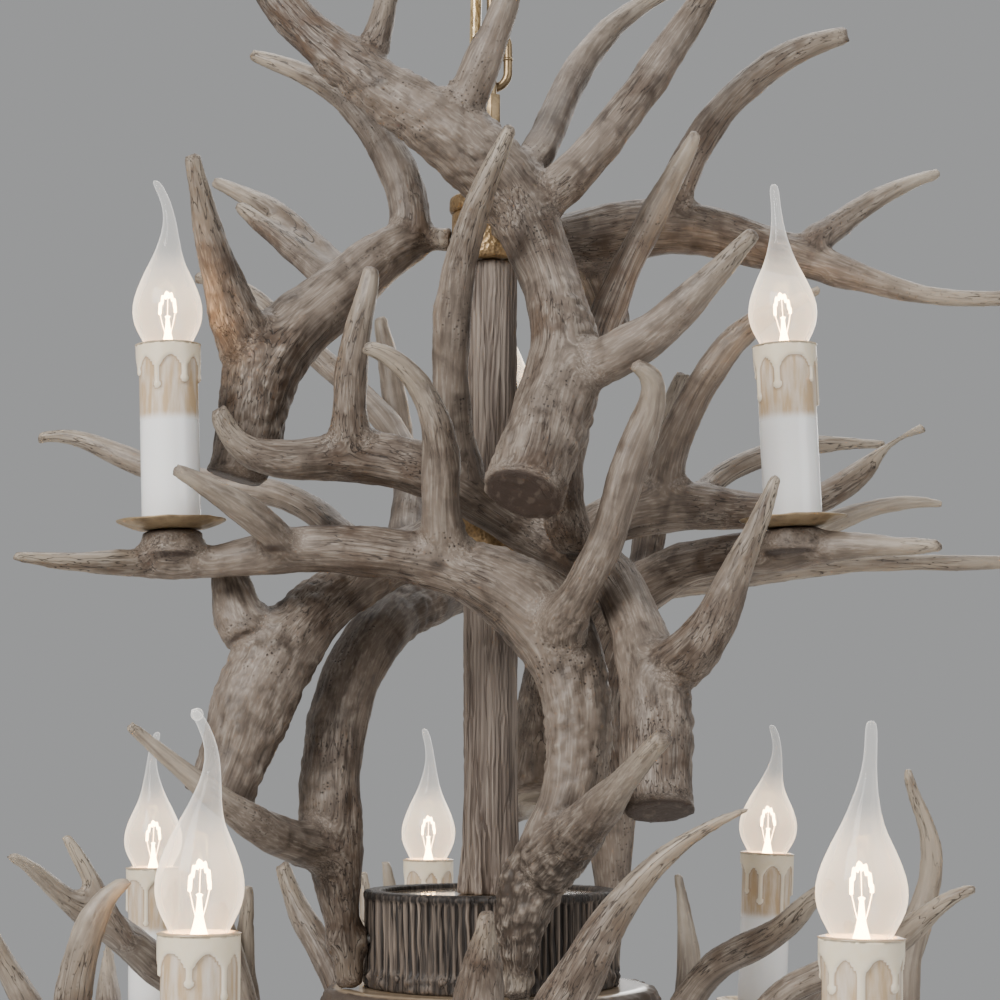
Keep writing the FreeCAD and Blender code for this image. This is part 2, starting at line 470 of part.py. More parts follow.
def chain_link(number):
    """One link, counted from the ceiling. Every second link is turned."""
    return oval_link(CHAIN_LINK_HALF_WIDTH, CHAIN_LINK_STRAIGHT, CHAIN_WIRE_RADIUS,
                     TOP_LINK_CENTRE - number * LINK_PITCH, number % 2 == 1)


def quick_link():
    """The oval link that opens, in the YZ plane, with its gap behind the nut."""
    whole = oval_link(QUICK_HALF_WIDTH, QUICK_STRAIGHT, QUICK_WIRE_RADIUS, QUICK_CENTRE, True)
    gap = cylinder(QUICK_WIRE_RADIUS + 1, QUICK_GAP, QUICK_CENTRE - QUICK_GAP / 2, 0, -QUICK_HALF_WIDTH)
    return whole.cut(gap)


def quick_link_nut():
    """The long hexagonal sleeve nut that closes the quick link's gap."""
    nut = hexagon(QUICK_NUT_ACROSS, QUICK_NUT_LENGTH, QUICK_CENTRE - QUICK_NUT_LENGTH / 2,
                  QUICK_WIRE_RADIUS + RUNNING_GAP)
    nut.translate(Vector(0, -QUICK_HALF_WIDTH, 0))
    return nut


def eye_loop():
    """The stem and ring on the cap, seen face on."""
    collar = cylinder(EYE_COLLAR_RADIUS, EYE_COLLAR_HEIGHT - EYE_WIRE_RADIUS, CAP_TOP)
    neck = cylinder(EYE_WIRE_RADIUS, EYE_COLLAR_HEIGHT, CAP_TOP)
    loop = Part.makeTorus(EYE_RING_RADIUS, EYE_WIRE_RADIUS, Vector(0, 0, EYE_RING_CENTRE), Vector(0, 1, 0))
    return collar.fuse([neck, loop])


def supply_cord():
    """The cord beside the chain, straight runs joined by tangent arcs, from the canopy into the cap."""
    last = len(CORD_ROUTE) - 1
    points = [Vector(x, y, CANOPY_BOTTOM + CANOPY_WALL + (CAP_TOP - CAP_HEIGHT / 2 - CANOPY_BOTTOM) * share)
              for x, y, share in CORD_ROUTE]
    edges = []
    start = points[0]
    tightest = 1e9
    for i in range(1, last):
        back = points[i - 1] - points[i]
        ahead = points[i + 1] - points[i]
        turn = math.pi - back.getAngle(ahead)
        reach = 0.45 * min(back.Length, ahead.Length)
        tightest = min(tightest, reach / math.tan(turn / 2))
        back.normalize()
        ahead.normalize()
        begin = points[i] + back * reach
        end = points[i] + ahead * reach
        bisector = (back + ahead).normalize()
        radius = reach / math.tan(turn / 2)
        middle = points[i] + bisector * (math.hypot(radius, reach) - radius)
        edges.append(Part.LineSegment(start, begin).toShape())
        edges.append(Part.Arc(begin, middle, end).toShape())
        start = end
    edges.append(Part.LineSegment(start, points[last]).toShape())
    path = Part.Wire(edges)
    section = Part.Wire(Part.makeCircle(CORD_RADIUS, points[0], points[1] - points[0]))
    tube = path.makePipeShell([section], True, False)
    print("cord length %.1f tightest radius %.0f volume %.0f section times length %.0f" % (
        path.Length, tightest, tube.Volume, math.pi * CORD_RADIUS ** 2 * path.Length))
    return tube


# ---- centre line --------------------------------------------------------------------------
def screw_hole(radius_out, degrees, height):
    """A hole through a hub's wall towards one antler."""
    direction = polar(1, degrees, 0)
    return along(Vector(0, 0, height), direction, SCREW_RADIUS + SCREW_CLEARANCE, radius_out + 4)


def drill(solid, radius_out, seats, height):
    """Drills a hub once for every antler that it carries."""
    for degrees in seats:
        solid = solid.cut(screw_hole(radius_out, degrees, height))
    return solid


def cup(radius, wall, floor, height, bottom):
    """A round drum open at the top with a hole for the centre tube in its floor."""
    outer = cylinder(radius, height, bottom)
    inner = cylinder(radius - wall, height, bottom + floor)
    return outer.cut(inner).cut(cylinder(TUBE_RADIUS + TUBE_CLEARANCE, floor + 2, bottom - 1))


def top_hub():
    """The hammered drum that the three top antlers are screwed to."""
    return drill(cup(TOP_HUB_RADIUS, HUB_WALL, HUB_WALL, TOP_HUB_HEIGHT, TOP_HUB_BOTTOM), TOP_HUB_RADIUS,
                 TOP_SEATS, TOP_SEAT)


def top_cap():
    """The lid on the top hub, with a blind bore below for the tube and a hole for the cord."""
    lid = cylinder(TOP_HUB_RADIUS + CAP_OVERHANG, CAP_HEIGHT, TOP_HUB_TOP)
    lid = lid.makeFillet(CAP_EDGE, [edge for edge in lid.Edges if edge.BoundBox.ZMin > CAP_TOP - 0.1])
    lid = lid.cut(cylinder(TUBE_RADIUS + TUBE_CLEARANCE, TUBE_TOP - TOP_HUB_TOP + 0.2, TOP_HUB_TOP))
    cord = CORD_ROUTE[-1]
    return lid.cut(cylinder(CORD_RADIUS + TUBE_CLEARANCE, CAP_HEIGHT + 2, TOP_HUB_TOP - 1, cord[0], cord[1]))


def mid_hub():
    """The smaller drum half way down the column, closed at its top."""
    body = cylinder(MID_HUB_RADIUS, MID_HUB_HEIGHT, MID_HUB_BOTTOM)
    body = body.cut(cylinder(MID_HUB_RADIUS - HUB_WALL, MID_HUB_HEIGHT - HUB_WALL, MID_HUB_BOTTOM))
    body = body.cut(cylinder(TUBE_RADIUS + TUBE_CLEARANCE, MID_HUB_HEIGHT + 2, MID_HUB_BOTTOM - 1))
    return drill(body, MID_HUB_RADIUS, MID_SEATS, MID_SEAT)


def bark_tube(bottom, top, foot_radius):
    """A fluted tube like a trunk, wider at its foot."""
    heights = [bottom, bottom + COLUMN_FLARE_HEIGHT * 0.4, bottom + COLUMN_FLARE_HEIGHT, top]
    radii = [foot_radius, COLUMN_RADIUS + (foot_radius - COLUMN_RADIUS) * 0.35, COLUMN_RADIUS, COLUMN_RADIUS]
    profile = [(0, bottom)] + list(zip(radii, heights)) + [(0, top)]
    trunk = revolve(profile)
    for groove in range(COLUMN_GROOVES):
        angle = groove * 360.0 / COLUMN_GROOVES
        centre = polar(COLUMN_RADIUS + GROOVE_RADIUS - GROOVE_DEPTH, angle, 0)
        trunk = trunk.cut(cylinder(GROOVE_RADIUS, top - bottom + 2, bottom - 1, centre.x, centre.y))
    return trunk.cut(cylinder(COLUMN_BORE_RADIUS, top - bottom + 2, bottom - 1))


def stump():
    """The drum like a tree stump, hollow, with a shelf for its disc."""
    body = cup(STUMP_RADIUS, STUMP_WALL, STUMP_FLOOR, STUMP_HEIGHT, STUMP_BOTTOM)
    shelf = ring(STUMP_RADIUS - STUMP_WALL, STUMP_RADIUS - STUMP_WALL - SHELF_WIDTH, SHELF_WIDTH,
                 DISC_BOTTOM - SHELF_WIDTH)
    body = body.fuse(shelf)
    for groove in range(STUMP_GROOVES):
        angle = (groove + 0.25 * math.sin(groove * 2.3)) * 360.0 / STUMP_GROOVES
        centre = polar(STUMP_RADIUS + GROOVE_RADIUS - GROOVE_DEPTH, angle, 0)
        body = body.cut(cylinder(GROOVE_RADIUS, STUMP_HEIGHT + 2, STUMP_BOTTOM - 1, centre.x, centre.y))
    return drill(body, STUMP_RADIUS, STUMP_SEATS, STUMP_SEAT)


def stump_disc():
    """The glossy slice set into the top of the stump."""
    return ring(STUMP_RADIUS - STUMP_WALL - DISC_CLEARANCE, TUBE_RADIUS + TUBE_CLEARANCE, DISC_THICKNESS,
                DISC_BOTTOM)


def slice_plate():
    """The larger slice under the stump, with its bark rim falling away."""
    rim = PLATE_TOP - PLATE_RIM_DROP
    middle = (PLATE_TOP + PLATE_BOTTOM) / 2
    body = revolve([(0, PLATE_TOP), (PLATE_TOP_RADIUS, PLATE_TOP), (PLATE_RADIUS - 2, rim),
                    (PLATE_RADIUS, middle), (PLATE_RADIUS - 4, PLATE_BOTTOM), (0, PLATE_BOTTOM)])
    return body.cut(cylinder(TUBE_RADIUS + TUBE_CLEARANCE, PLATE_THICKNESS + 2, PLATE_BOTTOM - 1))


def lower_hub():
    """The drum that carries the nine lower antlers, closed at its top."""
    outer = cylinder(LOWER_HUB_RADIUS, LOWER_HUB_HEIGHT, LOWER_HUB_BOTTOM)
    inner = cylinder(LOWER_HUB_RADIUS - LOWER_HUB_WALL, LOWER_HUB_HEIGHT - LOWER_HUB_WALL, LOWER_HUB_BOTTOM)
    body = outer.cut(inner).cut(cylinder(TUBE_RADIUS + TUBE_CLEARANCE, LOWER_HUB_HEIGHT + 2, LOWER_HUB_BOTTOM - 1))
    return drill(body, LOWER_HUB_RADIUS, LOWER_SEATS, LOWER_SEAT)


def bottom_cover():
    """The shallow bowl that closes the lower hub."""
    reach = LOWER_HUB_RADIUS
    outer = revolve([(0, LOWER_HUB_BOTTOM), (reach, LOWER_HUB_BOTTOM), (reach * 0.94, LOWER_HUB_BOTTOM - 5),
                     (reach * 0.7, LOWER_HUB_BOTTOM - BOTTOM_COVER_DEPTH * 0.62),
                     (reach * 0.4, COVER_BOTTOM), (0, COVER_BOTTOM)])
    inner = revolve([(0, LOWER_HUB_BOTTOM + 1), (reach * 0.88, LOWER_HUB_BOTTOM + 1),
                     (reach * 0.64, LOWER_HUB_BOTTOM - BOTTOM_COVER_DEPTH * 0.5),
                     (reach * 0.36, COVER_BOTTOM + 3), (0, COVER_BOTTOM + 3)])
    return outer.cut(inner).cut(cylinder(TUBE_RADIUS + TUBE_CLEARANCE, BOTTOM_COVER_DEPTH + 2, COVER_BOTTOM - 1))


def finial():
    """The turned drop that screws onto the tube's lower end and holds the cover."""
    reach = FINIAL_RADIUS
    drop = FINIAL_HEIGHT
    body = revolve([(0, COVER_BOTTOM), (reach * 0.75, COVER_BOTTOM), (reach * 0.75, COVER_BOTTOM - drop * 0.1),
                    (reach * 0.5, COVER_BOTTOM - drop * 0.18), (reach * 0.9, COVER_BOTTOM - drop * 0.34),
                    (reach, COVER_BOTTOM - drop * 0.5), (reach * 0.82, COVER_BOTTOM - drop * 0.7),
                    (reach * 0.4, COVER_BOTTOM - drop * 0.9), (0, COVER_BOTTOM - drop)])
    return body.cut(cylinder(TUBE_RADIUS + THREAD_GAP, COVER_BOTTOM - TUBE_BOTTOM + 0.2, TUBE_BOTTOM - 0.2))


def inner_cable():
    """The cable inside the centre tube, from the cap down to the lower hub."""
    return cylinder(CABLE_RADIUS, TUBE_TOP - LOWER_HUB_BOTTOM - HUB_WALL, LOWER_HUB_BOTTOM)


def tube_nuts():
    """Lock nuts on the centre tube inside the three hubs."""
    bottoms = [TOP_HUB_BOTTOM + HUB_WALL, MID_HUB_TOP - HUB_WALL - LOCK_NUT_HEIGHT,
               LOWER_HUB_TOP - LOWER_HUB_WALL - LOCK_NUT_HEIGHT]
    return [hexagon(LOCK_NUT_ACROSS, LOCK_NUT_HEIGHT, bottom, TUBE_RADIUS + THREAD_GAP) for bottom in bottoms]


# ---- antlers ------------------------------------------------------------------------------
def heading(points, i):
    """The direction of a horn at one of its stations."""
    before = points[max(i - 1, 0)]
    after = points[min(i + 1, len(points) - 1)]
    return (Vector(*after[:3]) - Vector(*before[:3])).normalize()


def blunted(points):
    """A horn's stations with the last one as thick as a worn tip, because no tine ends in a point."""
    x, y, z, radius = points[-1]
    return points[:-1] + [(x, y, z, max(radius, TIP_SHARE * points[-2][3]))]


def horn(stations):
    """A smooth tapering horn through stations (x, y, z, radius), its seam carried along untwisted."""
    points = blunted(stations)
    wires = []
    side = heading(points, 0).cross(Vector(0.31, 0.87, 0.38)).normalize()
    for i, point in enumerate(points):
        ahead = heading(points, i)
        side = (side - ahead * side.dot(ahead)).normalize()
        circle = Part.Wire(Part.makeCircle(point[3]))
        circle.Placement = Placement(Vector(*point[:3]), Rotation(side, ahead.cross(side), ahead, "ZXY"))
        wires.append(circle)
    return Part.makeLoft(wires, True, False)


def screw(hub_radius, wall, degrees, height):
    """A cap screw from inside a hub, through its wall and into an antler."""
    start = polar(hub_radius - wall - SCREW_HEAD_HEIGHT, degrees, height)
    direction = polar(1, degrees, 0)
    head = along(start, direction, SCREW_HEAD_RADIUS, SCREW_HEAD_HEIGHT - HEAD_SAGITTA)
    shank = along(start, direction, SCREW_RADIUS, SCREW_HEAD_HEIGHT + wall + SCREW_REACH)
    return head.fuse(shank)


# ---- candles ------------------------------------------------------------------------------
def leaning(shape, frame):
    """Moves a candle piece, made upright at the origin, to its pan's place and leans it."""
    x, y, z, lean = frame
    shape.Placement = Placement(Vector(x, y, z), Rotation(Vector(0, 1, 0), lean)).multiply(shape.Placement)
    return shape


def drip_pan():
    """A shallow dish with a rolled rim."""
    body = revolve([(0, 0), (PAN_RADIUS * 0.6, 0), (PAN_RADIUS, PAN_HEIGHT - 1), (PAN_RADIUS, PAN_HEIGHT),
                    (PAN_RADIUS - PAN_WALL, PAN_HEIGHT), (PAN_RADIUS * 0.6, PAN_FLOOR), (0, PAN_FLOOR)])
    return body.cut(cylinder(LAMP_NIPPLE_RADIUS + THREAD_GAP, PAN_HEIGHT + 2, -1))


def candle_sleeve():
    """The hollow candle that hides the lamp holder, with a rolled lip and a band of set drips."""
    top = PAN_FLOOR + SLEEVE_HEIGHT
    band = top - DRIP_BAND_DROP
    outer = SLEEVE_RADIUS
    body = revolve([(0, PAN_FLOOR), (outer, PAN_FLOOR), (outer, band - 3), (outer + DRIP_SWELL, band - 1),
                    (outer + DRIP_SWELL, band + 1), (outer, band + 3), (outer, top), (0, top)])
    return body.cut(cylinder(SLEEVE_RADIUS - SLEEVE_WALL, SLEEVE_HEIGHT + 2, PAN_FLOOR - 1))


HOLDER_TOP = PAN_FLOOR + SLEEVE_HEIGHT - HOLDER_DROP
HOLDER_BOTTOM = HOLDER_TOP - HOLDER_HEIGHT


def lamp_holder():
    """The round holder inside a sleeve, bored above for the lamp's cap and below for the nipple."""
    body = cylinder(HOLDER_RADIUS, HOLDER_HEIGHT, HOLDER_BOTTOM)
    body = body.cut(cylinder(BULB_CAP_RADIUS + RUNNING_GAP, BULB_CAP_HEIGHT + 1, HOLDER_TOP - BULB_CAP_HEIGHT))
    return body.cut(cylinder(LAMP_NIPPLE_RADIUS + THREAD_GAP, HOLDER_FLOOR + 1, HOLDER_BOTTOM - 1))


def lamp_nipple():
    """The hollow threaded tube from the antler through the pan into the holder."""
    return ring(LAMP_NIPPLE_RADIUS, LAMP_NIPPLE_BORE, LAMP_NIPPLE_SINK + HOLDER_BOTTOM + HOLDER_FLOOR - 0.2,
                -LAMP_NIPPLE_SINK)


def bulb(tail):
    """A lamp with a screw cap, a round belly and a drawn-out tail that sways on its way up."""
    mouth = PAN_FLOOR + SLEEVE_HEIGHT
    wires = []
    for share, size in BULB_SHAPE:
        rise = max(share - 0.45, 0) / 0.55
        bend = rise * rise
        centre = Vector(tail.x * bend + tail.sway * math.sin(math.pi * bend ** 0.7), tail.y * bend,
                        mouth + tail.height * share)
        wires.append(Part.Wire(Part.makeCircle(size * BULB_RADIUS, centre, UP)))
    neck_radius = BULB_CAP_RADIUS * 0.95
    start = HOLDER_TOP + 0.3
    wires.insert(0, Part.Wire(Part.makeCircle(neck_radius, Vector(0, 0, start), UP)))
    glass = Part.makeLoft(wires, True, False)
    cap_bottom = HOLDER_TOP - BULB_CAP_HEIGHT + 0.4
    return glass.fuse(cylinder(BULB_CAP_RADIUS, start + 1.5 - cap_bottom, cap_bottom))


# ---- making every node --------------------------------------------------------------------
def fixed_antler(antler, hub_radius, seat, floor=None):
    """One antler of the upper tiers, hollowed to its hub, bored for its screw, cut flat to a floor."""
    face = polar(hub_radius, antler.degrees, seat)
    stations = [[(x + face.x, y + face.y, z + face.z, r) for x, y, z, r in horn_points]
                for horn_points in antler.horns]
    parts = [horn(points) for points in stations]
    shape = parts[0].fuse(parts[1:])
    shape = shape.fuse(along(face, polar(1, antler.degrees, 0), TANG_RADIUS, TANG_LENGTH))
    return seated(shape, hub_radius, antler.degrees, seat, floor)


def seated(shape, hub_radius, degrees, seat, floor=None):
    """Cuts an antler to fit its hub and floor, and bores it for its screw."""
    shape = shape.cut(cylinder(hub_radius + SEAT_GAP, 4 * TOP_HUB_HEIGHT, seat - 2 * TOP_HUB_HEIGHT))
    if floor is not None:
        shape = shape.cut(cylinder(PLATE_RADIUS * 2, PLATE_THICKNESS, floor + SEAT_GAP - PLATE_THICKNESS))
    return shape.cut(along(polar(hub_radius - 1, degrees, seat), polar(1, degrees, 0),
                           SCREW_RADIUS + SCREW_CLEARANCE, SCREW_REACH + 3))


def candle_frame(antler_degrees, hub_radius, seat, candle):
    """Where a stump antler's candle stands, and how it leans."""
    face = polar(hub_radius, antler_degrees, seat)
    return (face.x + candle.x, face.y + candle.y, face.z + candle.z, candle.lean)


def lower_point(antler, outwards, sideways, up):
    """A point of a lower antler in the part's frame."""
    angle = math.radians(antler.bearing)
    radial = LOWER_HUB_RADIUS + outwards
    return (radial * math.sin(angle) + sideways * math.cos(angle),
            -radial * math.cos(angle) + sideways * math.sin(angle), LOWER_SEAT + up)


def lower_antler(antler):
    """One lower antler, its beam stretched to its own reach."""
    lift = antler.rise - LOWER_ANTLERS[0].rise
    beam = [(share * antler.reach, side, up + lift * share, r) for share, side, up, r in LOWER_BEAM]
    beam += [(antler.reach + out, side, up + lift, r) for out, side, up, r in LOWER_END]
    horns = [beam] + antler.tines
    shapes = [horn([lower_point(antler, out, side, up) + (r,) for out, side, up, r in points]) for points in horns]
    degrees = antler.bearing - 90
    shape = shapes[0].fuse(shapes[1:])
    return seated(shape, LOWER_HUB_RADIUS, degrees, LOWER_SEAT)


def with_boss(shape, frame, foot):
    """Adds the swelling under a candle's pan and bores it for the lamp nipple."""
    x, y, z, lean = frame
    swelling = Part.makeCone(BOSS_RADIUS * BOSS_SPREAD, BOSS_RADIUS, foot - SEAT_GAP, Vector(0, 0, -foot), UP)
    shape = shape.fuse(leaning(swelling, frame))
    shape = shape.cut(leaning(cylinder(PAN_RADIUS + 1, SLEEVE_HEIGHT, -SEAT_GAP), frame))
    bore = cylinder(LAMP_NIPPLE_RADIUS + THREAD_GAP, LAMP_NIPPLE_SINK + 2, -LAMP_NIPPLE_SINK - 0.2)
    return shape.cut(leaning(bore, frame))


frames = {}
save("ceiling_bracket", ceiling_bracket())
save("bracket_nipple", bracket_nipple())
save("nipple_lock_nut", nipple_lock_nut())
save("terminal_block", terminal_block())
save("canopy", canopy())
save("canopy_loop", canopy_loop())
save("top_chain_link", chain_link(0))
save("chain_links", [chain_link(number) for number in range(1, CHAIN_LINKS)])
save("quick_link", quick_link())
save("quick_link_nut", quick_link_nut())
save("eye_loop", eye_loop())
save("supply_cord", supply_cord())
save("top_hub", top_hub())
save("top_cap", top_cap())
save("mid_hub", mid_hub())
save("column_sections", [bark_tube(MID_HUB_TOP, TOP_HUB_BOTTOM - COLUMN_SHADOW_GAP, COLUMN_RADIUS),
                         bark_tube(DISC_TOP, MID_HUB_BOTTOM + COLUMN_SOCKET, COLUMN_FOOT_RADIUS),
                         bark_tube(LOWER_HUB_TOP, PLATE_BOTTOM, COLUMN_FOOT_RADIUS)])
save("stump", stump())
save("stump_disc", stump_disc())
save("slice_plate", slice_plate())
save("lower_hub", lower_hub())
save("bottom_cover", bottom_cover())
save("finial", finial())
save("centre_tube", ring(TUBE_RADIUS, TUBE_BORE_RADIUS, TUBE_TOP - TUBE_BOTTOM, TUBE_BOTTOM))
save("tube_nuts", tube_nuts())
save("inner_cable", inner_cable())

screws = []
for antlers, hub_radius, wall, seat in ((TOP_ANTLERS, TOP_HUB_RADIUS, HUB_WALL, TOP_SEAT),
                                        (MID_ANTLERS, MID_HUB_RADIUS, HUB_WALL, MID_SEAT),
                                        (STUMP_ANTLERS, STUMP_RADIUS, STUMP_WALL, STUMP_SEAT)):
    floor = PLATE_TOP if antlers is STUMP_ANTLERS else None
    for name, antler in antlers.items():
        shape = fixed_antler(antler, hub_radius, seat, floor)
        if name in STUMP_CANDLES:
            frames[name] = candle_frame(antler.degrees, hub_radius, seat, STUMP_CANDLES[name])
            shape = with_boss(shape, frames[name], UPPER_BOSS_FOOT)
        save(name, shape)
        screws.append(screw(hub_radius, wall, antler.degrees, seat))
for number, antler in enumerate(LOWER_ANTLERS, 1):
    name = "antler_lower_%d" % number
    frames[name] = lower_point(antler, antler.reach, 0, antler.rise) + (antler.lean,)
    save(name, with_boss(lower_antler(antler), frames[name], LOWER_BOSS_FOOT))
    screws.append(screw(LOWER_HUB_RADIUS, LOWER_HUB_WALL, antler.bearing - 90, LOWER_SEAT))
save("antler_screws", screws)

save("drip_pans", [leaning(drip_pan(), frame) for frame in frames.values()])
save("candle_sleeves", [leaning(candle_sleeve(), frame) for frame in frames.values()])
save("lamp_holders", [leaning(lamp_holder(), frame) for frame in frames.values()])
save("lamp_nipples", [leaning(lamp_nipple(), frame) for frame in frames.values()])
tails = [candle.tail for candle in STUMP_CANDLES.values()] + [antler.tail for antler in LOWER_ANTLERS]
for number, (frame, tail) in enumerate(zip(frames.values(), tails), 1):
    save("bulb_%02d" % number, leaning(bulb(tail), frame))
    print("bulb_%02d at %.2f %.2f %.2f lean %.1f" % ((number,) + tuple(frame)))
print("swing heights", LOOP_BOTTOM_WIRE, TOP_LINK_CENTRE - LINK_HALF, "eye level", EYE)
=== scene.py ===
"""Studio scene of the antler chandelier: every cast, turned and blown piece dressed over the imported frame."""
from __future__ import annotations

import json
import logging
import math
from dataclasses import dataclass, field
from enum import Enum
from typing import Callable, Optional, Sequence, Union

import bmesh
import bpy
import numpy as np
from mathutils import Matrix, Vector
from mathutils.bvhtree import BVHTree

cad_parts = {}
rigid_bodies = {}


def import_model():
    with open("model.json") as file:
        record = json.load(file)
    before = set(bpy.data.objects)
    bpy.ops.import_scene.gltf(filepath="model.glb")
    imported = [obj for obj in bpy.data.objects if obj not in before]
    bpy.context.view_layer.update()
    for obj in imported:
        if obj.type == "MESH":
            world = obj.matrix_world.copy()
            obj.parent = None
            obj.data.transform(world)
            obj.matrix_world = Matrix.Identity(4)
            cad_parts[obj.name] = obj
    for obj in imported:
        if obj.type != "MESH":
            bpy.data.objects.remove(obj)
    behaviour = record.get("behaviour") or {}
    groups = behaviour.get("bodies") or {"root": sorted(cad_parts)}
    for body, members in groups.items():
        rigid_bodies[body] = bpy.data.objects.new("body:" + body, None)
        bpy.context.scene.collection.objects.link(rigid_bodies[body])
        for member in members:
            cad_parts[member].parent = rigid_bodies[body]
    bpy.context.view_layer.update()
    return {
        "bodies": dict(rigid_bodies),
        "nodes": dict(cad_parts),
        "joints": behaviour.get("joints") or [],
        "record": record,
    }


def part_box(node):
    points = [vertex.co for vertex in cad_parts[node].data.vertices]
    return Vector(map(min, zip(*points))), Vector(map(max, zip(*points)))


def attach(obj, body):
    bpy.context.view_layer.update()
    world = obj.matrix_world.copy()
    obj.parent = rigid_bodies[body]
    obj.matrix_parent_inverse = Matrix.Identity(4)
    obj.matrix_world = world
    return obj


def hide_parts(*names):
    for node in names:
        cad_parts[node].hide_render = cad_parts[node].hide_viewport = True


LOG = logging.getLogger("antler_chandelier")
MM = 0.001
MERGE = 1e-6
Number = Union["Signal", float]
Profile = Sequence[tuple[float, float]]


# ---- shader maths -------------------------------------------------------------------------
class Signal:
    """A node socket that can be used like a number in a Python expression."""

    def __init__(self, board: "Board", socket: bpy.types.NodeSocket) -> None:
        """Keeps the socket and the board that its nodes are laid on."""
        self.board = board
        self.socket = socket

    def _math(self, operation: str, *values: Number) -> "Signal":
        """Adds one Math node.

        Args:
            operation: the node's operation.
            values: its inputs, in order.

        Returns:
            The node's result.
        """
        node = self.board.add("ShaderNodeMath", {"operation": operation}, dict(enumerate(values)))
        return Signal(self.board, node.outputs[0])

    def __add__(self, other: Number) -> "Signal":
        """Sum."""
        return self._math("ADD", self, other)

    __radd__ = __add__

    def __sub__(self, other: Number) -> "Signal":
        """Difference."""
        return self._math("SUBTRACT", self, other)

    def __rsub__(self, other: Number) -> "Signal":
        """Difference from a plain number."""
        return self._math("SUBTRACT", other, self)

    def __mul__(self, other: Number) -> "Signal":
        """Product."""
        return self._math("MULTIPLY", self, other)

    __rmul__ = __mul__

    def __truediv__(self, other: Number) -> "Signal":
        """Quotient."""
        return self._math("DIVIDE", self, other)

    def __pow__(self, other: Number) -> "Signal":
        """Power."""
        return self._math("POWER", self, other)

    def held(self) -> "Signal":
        """The value kept between 0 and 1."""
        return self._math("MAXIMUM", self._math("MINIMUM", self, 1.0), 0.0)

    def sine(self) -> "Signal":
        """The sine."""
        return self._math("SINE", self)

    def off(self, level: float) -> "Signal":
        """How far the value is from level."""
        return self._math("ABSOLUTE", self - level)

    def step(self, low: float, high: float) -> "Signal":
        """A ramp from 0 at low to 1 at high, low may be the larger."""
        return ((self - low) / (high - low)).held()


